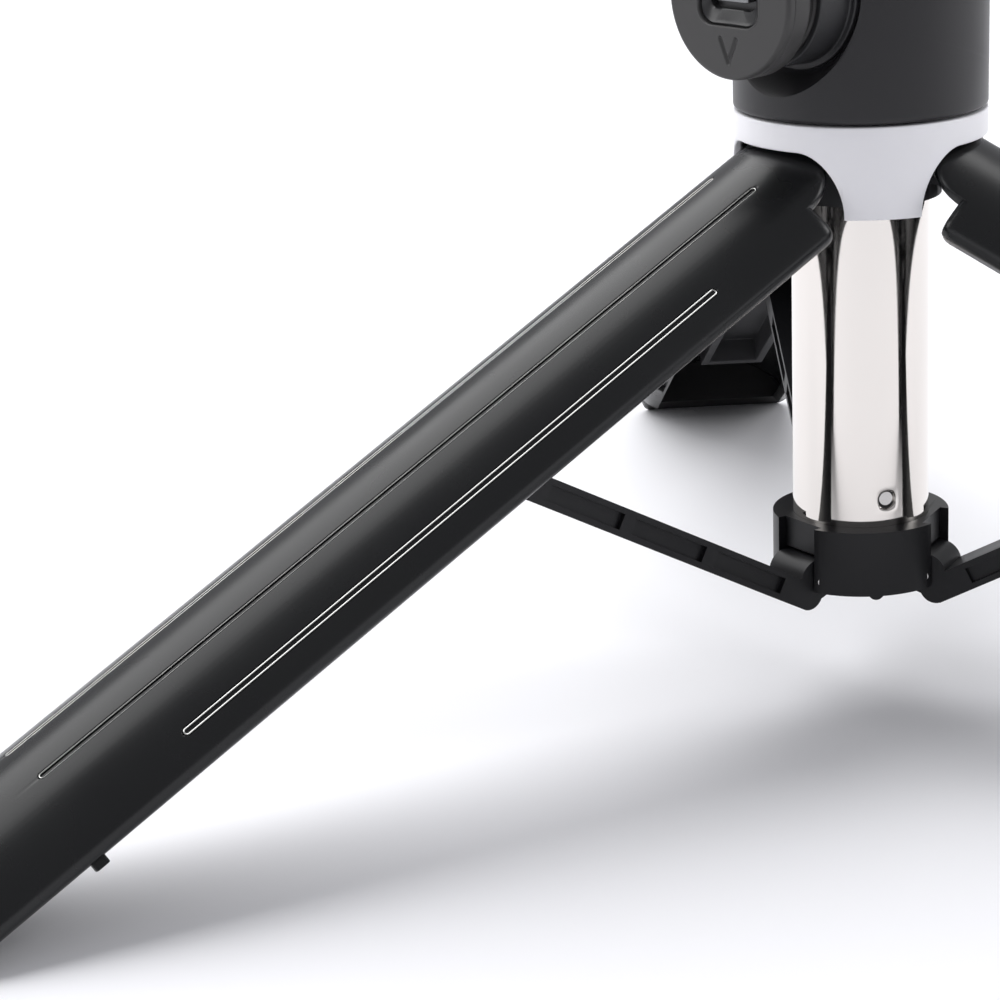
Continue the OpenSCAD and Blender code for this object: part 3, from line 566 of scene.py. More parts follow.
def inlay_strip_parts(sizes):
    """The four trim strips: a crowned strip with round ends that lies in each groove."""
    play, top, crown_drop, sunk = 0.09, 0.24, 0.1, 0.02
    half = sizes.groove_width / 2 - play
    across = np.linspace(-1, 1, 9)
    parts = []
    for centre, low, high, _ in GROOVES:
        ends = half * (1 - np.cos(np.linspace(0, np.pi / 2, 8)))
        z = np.concatenate([low + play + ends, high - play - ends[::-1]])[:, None]
        width = half * np.sin(np.linspace(0.05, np.pi / 2, 8))
        width = np.concatenate([width, width[::-1]])[:, None]
        angle = math.radians(centre) + across[None, :] * width / HANDLE_R
        crown = polar(HANDLE_R - top - crown_drop * across**2, angle, z)
        base = polar(HANDLE_R - sizes.groove_depth - sunk, angle, z)[:, ::-1]
        parts.append(lofted(np.concatenate([crown, base], 1), len(across)))
    return parts


def inlay_wire_parts(sizes):
    """A bright wire round each strip: a circle carried along a long loop with half-circle ends."""
    play, sunk, sides = 0.05, 0.02, 8
    parts = []
    around = np.linspace(0, 2 * np.pi, sides, endpoint=False)[None, :]
    bend = np.linspace(0, np.pi, 13)
    out_side = np.concatenate([np.cos(bend), -np.cos(bend)])[:, None]
    out_z = np.concatenate([np.sin(bend), -np.sin(bend)])[:, None]
    for centre, low, high, wire in GROOVES:
        half = sizes.groove_width / 2 - play - wire
        ends = half * np.sin(bend)
        z = np.concatenate([high - GROOVE_HALF + ends, low + GROOVE_HALF - ends])[:, None]
        side = half * out_side + wire * np.cos(around) * out_side
        z = z + wire * np.cos(around) * out_z
        radius = HANDLE_R - wire - sunk + wire * np.sin(around)
        tube = polar(radius, math.radians(centre) + side / HANDLE_R, z)
        faces = quads(len(bend) * 2, sides, close_rows=True, close_cols=True)
        parts.append((tube.reshape(-1, 3), faces))
    return parts


def foot_parts(sizes, side):
    """The foot: the leg's outline, its radius shrinking along a quarter ellipse, with a flat inner face.

    With the leg swung out, points that would lie below the ground are lifted to it.
    """
    low = HINGE_Z - sizes.leg_length
    high = low + sizes.foot_length - FOOT_SEAM
    straight, set_in = 0.4, 0.1
    dome = sizes.foot_length - straight
    turn = np.radians(np.linspace(6, 90, 15))
    swing = turn - turn[0]
    heights = np.concatenate([low + dome * (1 - np.cos(swing)) / (1 - np.cos(swing[-1])), [high]])
    tip_r = FOOT_INNER + FOOT_TIP_R
    radii = np.concatenate([tip_r + (HANDLE_R - FOOT_INNER - FOOT_TIP_R) * np.sin(turn), [HANDLE_R - set_in]])
    reach = FOOT_INNER / math.cos(HALF_SECTOR) * FOOT_FLANGE
    layers = []
    for z, radius in zip(heights, radii, strict=True):
        limit = leg_corner_angle(radius, sizes.leg_corner)
        angles = np.linspace(-limit, limit, 49)
        outline, _ = leg_section(radius, sizes.leg_corner, reach, angles)
        outline[:, 0] = np.maximum(outline[:, 0], FOOT_INNER)
        layers.append(layer(outline, z))
    points, faces = lofted(np.array(layers), len(outline) // 2 + 1)
    points = leg_place(points, side)
    points[:, 2] = np.maximum(points[:, 2], 0)
    return [(points, faces)]


def peg_part():
    """Locating peg that stands out of a leg's side near the foot."""
    points, faces = superbox((PEG_OUT, PEG_SIDE, 0), PEG_HALF, power=8, steps=14)
    c, s = math.cos(HALF_SECTOR), math.sin(HALF_SECTOR)
    x, y = points[:, 0] * c - points[:, 1] * s, points[:, 0] * s + points[:, 1] * c
    return np.stack([x, y, points[:, 2] + HINGE_Z - PEG_DROP], -1), faces


class BuildLegCasings(bpy.types.Operator):
    """Three leg shells with pressed grooves, an arched top and a locating peg."""

    bl_idname = "selfie_stick.leg_casings"
    bl_label = "Leg casings"

    def execute(self, context):
        parts = casing_parts(context.scene.stick_sizes) + [peg_part()]
        for side in SIDES:
            add_piece(f"{side}_leg_casing", on_leg(parts, side), f"{side}_leg_shell")
        return {"FINISHED"}


class BuildLegInlays(bpy.types.Operator):
    """The dark strips in the leg grooves and the bright wires round them."""

    bl_idname = "selfie_stick.leg_inlays"
    bl_label = "Leg inlays"

    def execute(self, context):
        sizes = context.scene.stick_sizes
        for side in SIDES:
            node = f"{side}_leg_trim"
            add_piece(f"{side}_leg_inlay", on_leg(inlay_strip_parts(sizes), side), node, slot="black_body")
            add_piece(f"{side}_leg_inlay_wire", on_leg(inlay_wire_parts(sizes), side), node)
        return {"FINISHED"}


class BuildFeet(bpy.types.Operator):
    """The rounded foot on each leg."""

    bl_idname = "selfie_stick.feet"
    bl_label = "Feet"

    def execute(self, context):
        for side in SIDES:
            add_piece(f"{side}_leg_foot", foot_parts(context.scene.stick_sizes, side), f"{side}_foot")
        return {"FINISHED"}


# ---------------------------------------------------------------- collar, head and pole


def collar_parts():
    """The collar: a closed wall profile carried round the pole, its lower edge lifted over each leg."""
    top_w, low_w, rise = 5.9, 11.5, 8.6
    wall, roof, ease, play = 1.0, 1.4, 0.25, 0.1
    bend = np.linspace(0, np.pi / 2, 14)
    arch = np.arcsin((top_w + (low_w - top_w) * np.sin(bend)) / HANDLE_R)
    notch = np.concatenate([-arch[::-1], np.linspace(-arch[0], arch[0], 9)[1:-1], arch])
    lift = COLLAR_LOW + rise * np.concatenate([np.cos(bend)[::-1], np.ones(7), np.cos(bend)])
    plain = np.linspace(arch[-1], 2 * np.pi / 3 - arch[-1], 16)[1:-1]
    angles, edge_z = [], []
    for side in SIDES:
        pos = JOINTS[f"{side}_leg_fold"]["pos_m"]
        azimuth = math.atan2(pos[1], pos[0])
        angles += [azimuth + notch, azimuth + plain]
        edge_z += [lift, np.full(len(plain), COLLAR_LOW)]
    angles, edge_z = np.mod(np.concatenate(angles), 2 * np.pi), np.concatenate(edge_z)
    order = np.argsort(angles)
    angles, edge_z = angles[order], edge_z[order]
    r_in, bore, ceiling = HANDLE_R - wall, POLE_R + play, COLLAR_TOP - roof
    turn = np.radians([0, 22.5, 45, 67.5, 90])
    rows = [(bore, COLLAR_TOP)]
    rows += [(HANDLE_R - ease + ease * math.sin(a), COLLAR_TOP - ease + ease * math.cos(a)) for a in turn]
    for share in (0.15, 0.4, 0.7):
        rows.append((HANDLE_R, (COLLAR_TOP - ease) + (edge_z + ease - COLLAR_TOP + ease) * share))
    rows += [(HANDLE_R - ease * (1 - math.cos(a)), edge_z + ease * (1 - math.sin(a))) for a in turn]
    rows += [(r_in + ease * (1 - math.sin(a)), edge_z + ease * (1 - math.cos(a))) for a in turn]
    rows += [(r_in, np.maximum(edge_z + ease, ceiling)), (bore, ceiling)]
    points = np.array([polar(r, angles, z) for r, z in rows])
    faces = quads(len(rows), len(angles), close_rows=True, close_cols=True)
    return [(points.reshape(-1, 3), faces)]


class BuildCollar(bpy.types.Operator):
    """The silver collar that the legs hinge in."""

    bl_idname = "selfie_stick.collar"
    bl_label = "Hinge collar"

    def execute(self, context):
        add_piece("hinge_collar", collar_parts(), "collar_shell")
        return {"FINISHED"}


def head_parts():
    """The head: a barrel with a conical scoop round the remote's axis.

    The scoop's edge is where the cone meets the barrel. Straight lines in (angle, height) run from that edge
    to the border of the unrolled barrel, and the border's points continue over the top and bottom faces.
    """
    floor_x, floor_r, wide_r, deep = 12.0, 11.0, 14.4, 6.0
    slope = (wide_r - floor_r) / deep
    ease, play = 0.5, 0.15
    low, high, bore = HEAD_LOW + ease, HEAD_TOP - ease, POLE_R + play
    across, upright = 121, 37
    a_row = np.linspace(-np.pi, np.pi, across)
    z_row = np.linspace(low, high, upright)
    border = np.concatenate(
        [
            np.stack([np.full(upright, np.pi), z_row], -1)[:-1],
            np.stack([a_row[::-1], np.full(across, high)], -1)[:-1],
            np.stack([np.full(upright, -np.pi), z_row[::-1]], -1)[:-1],
            np.stack([a_row, np.full(across, low)], -1)[:-1],
        ]
    )
    psi = np.arctan2(border[:, 1] - REMOTE_Z, border[:, 0] * HANDLE_R)
    c, s = np.cos(psi), np.sin(psi)
    # The cone's radius d where it meets the barrel solves
    # (floor_x + (d - floor_r) / slope)^2 + (d c)^2 = HANDLE_R^2.
    a = 1 / slope**2 + c**2
    shift = floor_x - floor_r / slope
    b = 2 * shift / slope
    d = (-b + np.sqrt(b**2 - 4 * a * (shift**2 - HANDLE_R**2))) / (2 * a)
    edge = np.stack([np.arcsin(d * c / HANDLE_R), REMOTE_Z + d * s], -1)
    fillet_in, fillet_rise = 0.8, 0.75
    bend_r, wall_r = floor_r - fillet_in, floor_r + fillet_rise * slope
    rings = [(floor_x, radius) for radius in (0.0, 4.0, 8.0, 10.0, bend_r)]
    for share in (0.35, 0.7, 1.0):
        radius = bend_r + (fillet_in + fillet_rise * slope) * share
        rings.append((floor_x + fillet_rise * share**2, radius))
    for share in np.linspace(0.08, 0.95, 7):
        radius = wall_r + (d - wall_r) * share
        rings.append((floor_x + (radius - floor_r) / slope, radius))
    rows = [np.stack(np.broadcast_arrays(x, radius * c, radius * s), -1) for x, radius in rings]
    for share in np.concatenate([[0.012, 0.03], np.linspace(0.06, 1, 22)]):
        at = edge + (border - edge) * share
        rows.append(polar(HANDLE_R, at[:, 0], at[:, 1] - REMOTE_Z))
    barrel = np.array(rows)
    turn = math.atan2(REMOTE_AXIS[1], REMOTE_AXIS[0])
    spin = np.array([[math.cos(turn), math.sin(turn), 0], [-math.sin(turn), math.cos(turn), 0], [0, 0, 1]])
    barrel = barrel @ spin + np.array([0, 0, REMOTE_Z])
    ends = [(HANDLE_R - ease + ease * math.cos(q), low - ease * math.sin(q)) for q in QUARTER]
    ends += [(bore, HEAD_LOW), (bore, HEAD_TOP)]
    ends += [(HANDLE_R - ease + ease * math.cos(q), high + ease * math.sin(q)) for q in QUARTER[::-1]]
    ends = np.array(ends)
    rim = polar(ends[:, 0:1], a_row[:-1] + turn, ends[:, 1:2])
    return [
        (barrel.reshape(-1, 3), quads(len(barrel), len(psi), close_cols=True)),
        (rim.reshape(-1, 3), quads(len(ends), across - 1, close_cols=True)),
    ]


class BuildHead(bpy.types.Operator):
    """The head housing with its scoop for the remote."""

    bl_idname = "selfie_stick.head"
    bl_label = "Head barrel"

    def execute(self, context):
        add_piece("head_barrel", head_parts(), "head_housing")
        return {"FINISHED"}


def drilled_barrel(radius, low, high, hole_angle, hole_z, hole_r, depth):
    """A plain barrel with one drilled hole: a block of the grid opens into rings that narrow to the hole."""
    around, cell = 144, 10
    step = 2 * np.pi / around
    first = round(hole_angle / step) - cell // 2
    reach = cell * step * radius / 2
    z = spread_values(
        np.linspace(low, hole_z - reach, 8),
        np.linspace(hole_z - reach, hole_z + reach, cell + 1),
        np.linspace(hole_z + reach, high, 24),
    )
    row0 = int(np.argmin(np.abs(z - (hole_z - reach))))
    grid = polar(radius, step * np.arange(around), z[:, None])
    faces = quads(len(z), around, close_cols=True).reshape(len(z) - 1, around, 4)
    keep = np.ones((len(z) - 1, around), bool)
    keep[row0 : row0 + cell, (first + np.arange(cell)) % around] = False
    i = np.arange(cell)
    walk = np.concatenate(
        [
            np.stack([i, 0 * i], -1),
            np.stack([0 * i + cell, i], -1),
            np.stack([cell - i, 0 * i + cell], -1),
            np.stack([0 * i, cell - i], -1),
        ]
    )
    block_a = (first + walk[:, 0]) * step
    block_z = z[row0] + (z[row0 + cell] - z[row0]) * walk[:, 1] / cell
    mid_a = (first + cell / 2) * step
    mid_z = (z[row0] + z[row0 + cell]) / 2
    bearing = np.arctan2(block_z - mid_z, (block_a - mid_a) * radius)
    hole = np.stack([mid_a + hole_r * np.cos(bearing) / radius, mid_z + hole_r * np.sin(bearing)], -1)
    block = np.stack([block_a, block_z], -1)
    rings = []
    for share, sink in ((0, 0), (0.4, 0), (0.7, 0.02), (0.86, 0.08), (0.95, 0.2), (1, 0.4), (1, depth)):
        at = block + (hole - block) * share
        rings.append(polar(radius - sink, at[:, 0], at[:, 1]))
    centre = polar(radius - depth, mid_a, mid_z)
    rings.append(np.repeat(centre[None, :], len(walk), 0))
    return [
        (grid.reshape(-1, 3), faces[keep]),
        (np.array(rings).reshape(-1, 3), quads(len(rings), len(walk), close_cols=True)),
    ]


TUBE_WALL, LAST_WALL = 0.45, 1.2
HOLE_TURN, HOLE_Z, HOLE_R, HOLE_DEPTH = math.radians(283), 28.7, 1.25, 0.9


def pole_parts():
    """The outer tube: a drilled skin, rolled ends, and a bore with a narrower stretch near its foot."""
    ease, narrow = 0.18, 0.8
    narrow_low, narrow_high = (POLE_LOW + 2, POLE_LOW + 4), (POLE_LOW + 11, POLE_LOW + 12)
    low, high, bore = POLE_LOW + ease, POLE_TOP - ease, POLE_R - TUBE_WALL
    skin = drilled_barrel(POLE_R, low, high, HOLE_TURN, HOLE_Z, HOLE_R, HOLE_DEPTH)
    eighth = np.radians([0, 45, 90])
    inside = [(POLE_R - ease + ease * math.cos(q), low - ease * math.sin(q)) for q in eighth]
    inside += [(bore, POLE_LOW), (bore, narrow_low[0]), (bore - narrow, narrow_low[1])]
    inside += [(bore - narrow, narrow_high[0]), (bore, narrow_high[1]), (bore, POLE_TOP)]
    inside += [(POLE_R - ease + ease * math.cos(q), high + ease * math.sin(q)) for q in eighth[::-1]]
    return skin + [turned(inside, 144, closed=False)]


def stage_profile(low, high, radius, last):
    """Profile of a telescoping tube with a rolled rim that stands proud, except on the last, thicker one."""
    rim, rim_r, foot_r = 0.35, 0.3, 0.15
    rim_foot, body_top = high - 0.6, high - 1.1
    body_r = radius if last else radius - rim
    wall = LAST_WALL if last else TUBE_WALL
    rim_low = [[body_r, rim_foot]] if last else arc((radius - rim_r, rim_foot), rim_r, -60, 0, 4)
    return np.concatenate(
        [
            [[body_r - wall, low]],
            arc((body_r - foot_r, low + foot_r), foot_r, -90, 0, 4),
            [[body_r, body_top]],
            rim_low,
            arc((radius - rim_r, high - rim_r), rim_r, 0, 90, 5),
            [[body_r - wall, high]],
        ]
    )


class BuildPole(bpy.types.Operator):
    """The polished outer tube with its drilled hole, and the telescoping sections inside it."""

    bl_idname = "selfie_stick.pole"
    bl_label = "Pole tubes"

    def execute(self, context):
        add_piece("pole_barrel", pole_parts(), "pole_tube")
        for i in (1, 2, 3):
            node = f"pole_section_{i}"
            low, high = node_low(node), node_high(node)
            profile = stage_profile(low[2], high[2], high[0], last=i == 3)
            add_piece(f"pole_stage_{i}", [turned(profile, 120)], node)
        return {"FINISHED"}


# ---------------------------------------------------------------- remote

AXIS_R = 0.001  # radius of a profile's point on the axis
FACE_OUT = 25.4  # the face's distance from the pole's axis
PORT = {"wide": 10.4, "high": 6.4, "corner": 2.4, "drop": -0.4}
SLOT = {"wide": 8.0, "high": 3.2, "corner": 1.2, "rise": 0.45}
TONGUE_PLACE, TONGUE_HALF = (0, -0.1, FACE_OUT - 1.45), (2.9, 0.42, 0.75)


def rounded_rectangle(bearing, wide, high, corner):
    """Distance from the centre to a rounded rectangle along each bearing, found by halving the range."""
    c, s = np.abs(np.cos(bearing)), np.abs(np.sin(bearing))
    near, far = np.zeros_like(c), np.full_like(c, wide)
    for _ in range(40):
        mid = (near + far) / 2
        x = np.maximum(mid * c - (wide / 2 - corner), 0)
        y = np.maximum(mid * s - (high / 2 - corner), 0)
        inside = np.hypot(x, y) < corner
        near, far = np.where(inside, mid, near), np.where(inside, far, mid)
    return near


def mark_depth(x, y):
    """Depth of the V mark below the port: a soft channel along two strokes that meet at the bottom."""
    tip, top_x, top_y = np.array([0.0, -8.3]), 1.35, -5.2
    width, deep = 0.34, 0.3
    depth = np.zeros_like(x)
    for sign in (-1, 1):
        top = np.array([sign * top_x, top_y])
        along = top - tip
        share = np.clip(((x - tip[0]) * along[0] + (y - tip[1]) * along[1]) / (along @ along), 0, 1)
        distance = np.hypot(x - tip[0] - share * along[0], y - tip[1] - share * along[1])
        depth = np.maximum(depth, deep * np.clip(1 - (distance / width) ** 2, 0, 1))
    return depth


def remote_face_parts():
    """The face: rings that pass from the port's outline to the round rim, then over its edge to the back."""
    bearing = np.linspace(0, 2 * np.pi, 288, endpoint=False)
    hole = rounded_rectangle(bearing, PORT["wide"], PORT["high"], PORT["corner"])
    c, s = np.cos(bearing), np.sin(bearing)
    inner = np.stack([hole * c, hole * s + PORT["drop"]], -1)
    outer = np.stack([REMOTE_R * c, REMOTE_R * s], -1)
    edge, lip_r, swell, thick = 0.55, 0.3, 0.12, 1.25
    back = FACE_OUT - thick
    outwards = (outer - inner) / np.linalg.norm(outer - inner, axis=1)[:, None]
    rows = [layer(inner, back)]
    for q in QUARTER:
        lip = inner + outwards * lip_r * (1 - math.cos(q))
        rows.append(layer(lip, FACE_OUT - lip_r + lip_r * math.sin(q)))
    start, stop = rows[-1][:, :2], outer * (REMOTE_R - edge) / REMOTE_R
    for share in np.linspace(0.02, 1, 56):
        at = start + (stop - start) * share
        crown = swell * (np.hypot(at[:, 0], at[:, 1]) / REMOTE_R) ** 2
        rows.append(layer(at, FACE_OUT - crown - mark_depth(at[:, 0], at[:, 1])))
    for q in np.radians([15, 40, 65, 90]):
        radius = REMOTE_R - edge + edge * math.sin(q)
        rows.append(layer(outer * radius / REMOTE_R, FACE_OUT - swell - edge + edge * math.cos(q)))
    rows.append(layer(outer, back))
    return [(along_remote(np.array(rows)), quads(len(rows), len(c), close_rows=True, close_cols=True))]


def remote_body_parts():
    """The body behind the face: a rounded rim, then the neck that plugs into the head, with a bead on it."""
    back, rim = FACE_OUT - 1.3, FACE_OUT - 4.5
    neck, low, wall, end = 8.7, 12.9, 1.1, 1.2
    bead, rim_r, front_r, neck_r = 0.35, 0.7, 0.25, 0.5
    profile = np.concatenate(
        [
            [[neck - wall, low + end], [AXIS_R, low + end], [AXIS_R, low], [neck - neck_r, low]],
            arc((neck - neck_r, low + neck_r), neck_r, -90, 0, 5),
            [[neck, 17.0], [neck + bead, 17.3], [neck + bead, 18.4], [neck, 18.7]],
            arc((neck + neck_r, rim - neck_r), neck_r, 180, 90, 5),
            arc((REMOTE_R - rim_r, rim + rim_r), rim_r, -90, 0, 7),
            arc((REMOTE_R - front_r, back - front_r), front_r, 0, 90, 4),
            [[neck - wall, back]],
        ]
    )
    points, faces = turned(profile, 160)
    return [(along_remote(points), faces)]


def port_parts():
    """The port's liner: a dished rounded rectangle with a slot in it for the plug."""
    bearing = np.linspace(0, 2 * np.pi, 192, endpoint=False)
    c, s = np.cos(bearing), np.sin(bearing)
    play = 0.08
    wide, high, corner = PORT["wide"] - 2 * play, PORT["high"] - 2 * play, PORT["corner"] - play
    outer = rounded_rectangle(bearing, wide, high, corner)
    slot = rounded_rectangle(bearing, SLOT["wide"], SLOT["high"], SLOT["corner"])
    rise = SLOT["rise"]
    # Distance from the middle, depth below the face, and how far the slot's rings stand above the liner's.
    levels = [
        (0 * outer, 2.6, 0),
        (outer, 2.6, 0),
        (outer, 0.55, 0),
        (outer - 0.25, 0.45, 0),
        (outer - 0.75, 0.8, 0),
        (slot + 0.2, 1.0, rise),
        (slot, 1.15, rise),
        (slot, 2.2, rise),
        (0 * slot, 2.2, rise),
    ]
    rows = []
    for r, deep, up in levels:
        rows.append(layer(np.stack([r * c, r * s + PORT["drop"] + up], -1), FACE_OUT - deep))
    return [(along_remote(np.array(rows)), quads(len(rows), len(c), close_cols=True))]


class BuildRemote(bpy.types.Operator):
    """The plug-in remote: body, face, port liner and contact tongue."""

    bl_idname = "selfie_stick.remote"
    bl_label = "Remote"

    def execute(self, context):
        add_piece("remote_body", remote_body_parts(), "remote_shell")
        add_piece("remote_face", remote_face_parts(), "remote_face_cap")
        add_piece("port_liner", port_parts(), "remote_port")
        points, faces = superbox(TONGUE_PLACE, TONGUE_HALF, power=9, steps=18)
        add_piece("contact_tongue", [(along_remote(points), faces)], "port_tongue")
        return {"FINISHED"}


# ---------------------------------------------------------------- phone clamp


def ribbed_pad_parts(node, upwards):
    """A silicone pad: a block whose gripping face has rounded ribs along X and soft edges."""
    ribs, rib_high, end_drop, edge_share, rim_drop = 8, 0.28, 0.3, 0.04, 0.25
    low, high = node_low(node), node_high(node)
    x = np.linspace(low[0], high[0], 13)
    y = np.linspace(low[1], high[1], 121)
    share = (y - low[1]) / (high[1] - low[1])
    wave = rib_high * (0.5 + 0.5 * np.cos(2 * np.pi * share * ribs))
    fade = np.clip(np.minimum(share, 1 - share) / edge_share, 0, 1)
    drop = end_drop * (1 - fade) + wave
    ends = rim_drop * (np.abs(x - x.mean()) > (x[-1] - x.mean()) - 0.01)
    grip = (high[2] if upwards else low[2]) + (-1 if upwards else 1) * (drop[None, :] + ends[:, None])
    back = low[2] if upwards else high[2]
    gx, gy = np.meshgrid(x, y, indexing="ij")
    face = np.stack([gx, gy, grip], -1)
    flat = np.stack([gx, gy, np.full_like(gx, back)], -1)
    parts = [(grid.reshape(-1, 3), quads(*gx.shape)) for grid in (face, flat)]
    for border in ((0,), (-1,), (slice(None), 0), (slice(None), -1)):
        strip = np.stack([face[border], flat[border]])
        parts.append((strip.reshape(-1, 3), quads(2, strip.shape[1])))
    return parts


def coil_parts(node, turns, wire):
    """A wound spring: a circle of the wire's radius carried along a helix, closed at both ends."""
    per_turn, sides = 20, 8
    low, high = node_low(node), node_high(node)
    centre = (low + high) / 2
    radius = (high[0] - low[0]) / 2 - wire
    t = np.linspace(0, 1, turns * per_turn + 1)[:, None]
    around = np.linspace(0, 2 * np.pi, sides, endpoint=False)[None, :]
    z = low[2] + wire + (high[2] - low[2] - 2 * wire) * t + wire * np.sin(around)
    tube = polar(radius + wire * np.cos(around), 2 * np.pi * turns * t, z) + [centre[0], centre[1], 0]
    caps = [tuple(range(sides)), tuple(range((len(t) - 1) * sides, len(t) * sides))]
    return [(tube.reshape(-1, 3), [*quads(len(t), sides, close_cols=True), *caps])]


def rod_parts(node, spots):
    """Straight round rods with eased ends at the given X places."""
    ease = 0.3
    low, high = node_low(node), node_high(node)
    radius = (high[1] - low[1]) / 2
    profile = np.concatenate(
        [
            [[AXIS_R, low[2]]],
            arc((radius - ease, low[2] + ease), ease, -90, 0, 4),
            arc((radius - ease, high[2] - ease), ease, 0, 90, 4),
            [[AXIS_R, high[2]]],
        ]
    )
    points, faces = turned(profile, 48)
    y = (low[1] + high[1]) / 2
    return [(points + np.array([x, y, 0]), faces) for x in spots]


class BuildClamp(bpy.types.Operator):
    """The clamp's ribbed pads, wound spring and guide rods."""

    bl_idname = "selfie_stick.clamp"
    bl_label = "Phone clamp"

    def execute(self, context):
        add_piece("lower_grip", ribbed_pad_parts("lower_jaw_pad", True), "lower_jaw_pad")
        add_piece("upper_grip", ribbed_pad_parts("upper_jaw_pad", False), "upper_jaw_pad")
        add_piece("wound_spring", coil_parts("clamp_spring", turns=34, wire=0.32), "clamp_spring")
        rod_r = 1.5
        reach = node_high("guide_rods")[0] - rod_r
        add_piece("jaw_rods", rod_parts("guide_rods", (-reach, reach)), "guide_rods")
        return {"FINISHED"}


# ---------------------------------------------------------------- remaining parts

# Width of each part's edge rounding.
EASED = {
    "leg_hub": 0.3, "hinge_pins": 0.15, "pole_plug": 0.2, "plug_pin": 0.2, "strut_ring": 0.35,
    "strut_pins": 0.12, "ring_screw": 0.12, "head_cap": 0.25, "pole_guide": 0.1, "shutter_switch": 0.3,
    "remote_socket": 0.25, "shutter_button": 0.3, "remote_board": 0.15, "remote_cell": 0.3,
    "section_slider_1": 0.12, "section_slider_2": 0.12, "section_slider_3": 0.12, "clamp_yoke": 0.5,
    "tilt_bolt": 0.3, "tilt_nut": 0.35, "clamp_frame": 0.9, "upper_jaw": 0.9,
}
for leg_side in SIDES:
    for kind, kind_width in (("leg_bracket", 0.2), ("leg_track", 0.2), ("strut", 0.45), ("strut_glide", 0.2)):
        EASED[f"{leg_side}_{kind}"] = kind_width


def eased_copy(node, width):
    """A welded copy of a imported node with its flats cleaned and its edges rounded."""
    mesh = frame["nodes"][node].data.copy()
    mesh.name = f"{node}_eased"
    mesh.materials.clear()
    work = bmesh.new()
    work.from_mesh(mesh)
    bmesh.ops.remove_doubles(work, verts=work.verts, dist=WELD)
    bmesh.ops.dissolve_limit(
        work, angle_limit=math.radians(0.6), verts=work.verts, edges=work.edges, use_dissolve_boundaries=False
    )
    work.to_mesh(mesh)
    work.free()
    bevel = link_piece(mesh, node, SLOT_OF[node]).modifiers.new("eased edges", "BEVEL")
    bevel.width = width * MM
    bevel.segments = 3
    bevel.limit_method = "ANGLE"
    bevel.angle_limit = SHARP_ANGLE
    bevel.harden_normals = True
    bevel.use_clamp_overlap = True


class BuildEasedParts(bpy.types.Operator):
    """Every other part, with its moulded or machined edges rounded."""

    bl_idname = "selfie_stick.eased_parts"
    bl_label = "Remaining parts"

    def execute(self, context):
        for node, width in EASED.items():
            eased_copy(node, width)
        return {"FINISHED"}


# ---------------------------------------------------------------- stage

FLOOR_DROP = 2e-5  # metres; keeps the floor just clear of the feet


def camera_basis(ahead, pan, tilt, roll):
    """Right, up and forward directions of a camera that looks ahead, then is panned, tilted and rolled."""

    def swung(first, second, angle):
        return (
            math.cos(angle) * first - math.sin(angle) * second,
            math.sin(angle) * first + math.cos(angle) * second,
        )

    right = ahead.cross(Vector((0, 0, 1))).normalized()
    up = right.cross(ahead)
    right, forward = swung(right, ahead, pan)
    up, forward = swung(up, forward, tilt)
    right, up = swung(right, up, roll)
    return right, up, forward


def add_camera():
    """Long-lens camera in front of the stick, a little above it."""
    aim = Vector((0, 0, COLLAR_TOP + 0.2)) * MM
    distance = 0.44735
    azimuth, elevation = math.radians(10.483), math.radians(10.072)
    pan, tilt, roll = (math.radians(angle) for angle in (-6.274, -6.762, 0.777))
    level = math.cos(elevation)
    ahead = Vector((math.sin(azimuth) * level, math.cos(azimuth) * level, -math.sin(elevation)))
    right, up, forward = camera_basis(ahead, pan, tilt, roll)
    lens = bpy.data.cameras.new("studio_camera")
    lens.sensor_width = 36
    lens.lens = 118.89
    lens.clip_start, lens.clip_end = 0.01, 60
    camera = bpy.data.objects.new("studio_camera", lens)
    turn = Matrix((right, up, -forward)).transposed().to_4x4()
    camera.matrix_world = Matrix.Translation(aim - ahead * distance) @ turn
    bpy.context.scene.collection.objects.link(camera)
    bpy.context.scene.camera = camera


def add_softbox(name, place, aim, size, power):
    """A rectangular light at place, facing aim."""
    lamp = bpy.data.lights.new(name, "AREA")
    lamp.shape = "RECTANGLE"
    lamp.size, lamp.size_y = size
    lamp.energy = power
    box = bpy.data.objects.new(name, lamp)
    facing = (Vector(aim) - Vector(place)).to_track_quat("-Z", "Y")
    box.matrix_world = Matrix.Translation(Vector(place)) @ facing.to_matrix().to_4x4()
    bpy.context.scene.collection.objects.link(box)


def floor_material(colour):
    """Matt studio paper with a faint drift of tone."""
    material = bpy.data.materials.new("studio_paper")
    material.use_nodes = True
    tree = material.node_tree
    shader = tree.nodes["Principled BSDF"]
    shader.inputs["Roughness"].default_value = 0.85
    shader.inputs["Specular IOR Level"].default_value = 0.2
    drift = object_noise(tree, 2.0, 2)
    mix = tree.nodes.new("ShaderNodeMix")
    mix.data_type = "RGBA"
    mix.inputs["A"].default_value = (*[c * 0.99 for c in colour], 1)
    mix.inputs["B"].default_value = (*colour, 1)
    tree.links.new(drift, mix.inputs["Factor"])
    tree.links.new(mix.outputs["Result"], shader.inputs["Base Color"])
    return material


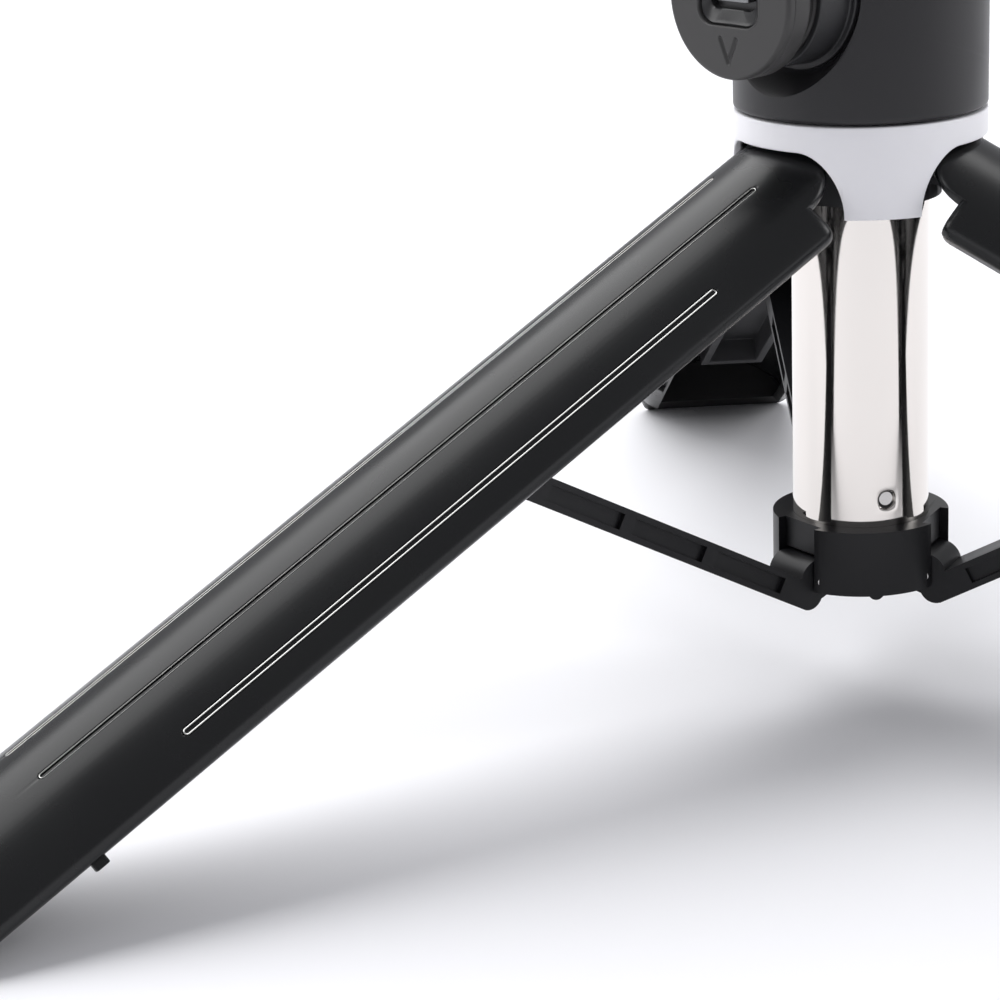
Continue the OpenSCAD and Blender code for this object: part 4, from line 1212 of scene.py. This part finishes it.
class BuildStage(bpy.types.Operator):
    """Camera, floor and soft studio lights."""

    bl_idname = "selfie_stick.stage"
    bl_label = "Stage"

    def execute(self, context):
        add_camera()
        turn = np.linspace(0, 2 * np.pi, 64, endpoint=False)
        radii = np.array([0.0, 0.3, 1, 3, 8, 14])[:, None]
        points = polar(radii, turn, -FLOOR_DROP)
        mesh = bpy.data.meshes.new("studio_floor")
        faces = quads(len(radii), len(turn), close_cols=True)
        mesh.from_pydata(points.reshape(-1, 3).tolist(), [], faces.tolist())
        mesh.materials.append(floor_material(context.scene.stick_colours.floor))
        ground = bpy.data.objects.new("studio_floor", mesh)
        context.scene.collection.objects.link(ground)
        world = bpy.data.worlds.new("studio_world")
        world.use_nodes = True
        sky = world.node_tree.nodes["Background"]
        sky.inputs["Color"].default_value = (0.95, 0.955, 1.0, 1)
        sky.inputs["Strength"].default_value = 0.40
        context.scene.world = world
        add_softbox("overhead_behind", (-0.4, 1.1, 1.8), (0, 0.2, 0), (3.6, 2.2), 62)
        add_softbox("side_left", (-1.5, -0.2, 0.9), (0, 0, 0.03), (0.7, 1.4), 9)
        add_softbox("side_right", (1.4, -0.2, 0.8), (0, 0, 0.08), (0.5, 1.2), 9)
        context.scene.view_settings.view_transform = "Standard"
        return {"FINISHED"}


class SelfieStickPanel(bpy.types.Panel):
    """Lists the selfie stick's builders."""

    bl_label = "Selfie stick"
    bl_idname = "VIEW3D_PT_selfie_stick"
    bl_space_type = "VIEW_3D"
    bl_region_type = "UI"
    bl_category = "Selfie stick"

    def draw(self, context):
        for group in (context.scene.stick_sizes, context.scene.stick_colours):
            for label in group.__annotations__:
                self.layout.prop(group, label)
        for builder in BUILDERS:
            self.layout.operator(builder.bl_idname)


BUILDERS = (
    BuildStage, BuildLegCasings, BuildLegInlays, BuildFeet, BuildCollar, BuildHead, BuildPole, BuildRemote,
    BuildClamp, BuildEasedParts,
)
CLASSES = (StickSizes, StickColours, *BUILDERS, SelfieStickPanel)


def register():
    """Registers the classes and hangs the settings on the scene."""
    for cls in CLASSES:
        bpy.utils.register_class(cls)
    bpy.types.Scene.stick_sizes = bpy.props.PointerProperty(type=StickSizes)
    bpy.types.Scene.stick_colours = bpy.props.PointerProperty(type=StickColours)


def unregister():
    """Takes the settings and classes away again."""
    del bpy.types.Scene.stick_colours
    del bpy.types.Scene.stick_sizes
    for cls in reversed(CLASSES):
        bpy.utils.unregister_class(cls)


def main():
    """Builds everything in order."""
    register()
    MATERIALS.update(make_materials(bpy.context.scene.stick_colours))
    for builder in BUILDERS:
        getattr(bpy.ops.selfie_stick, builder.bl_idname.split(".")[1])()


if __name__ == "__main__":
    main()
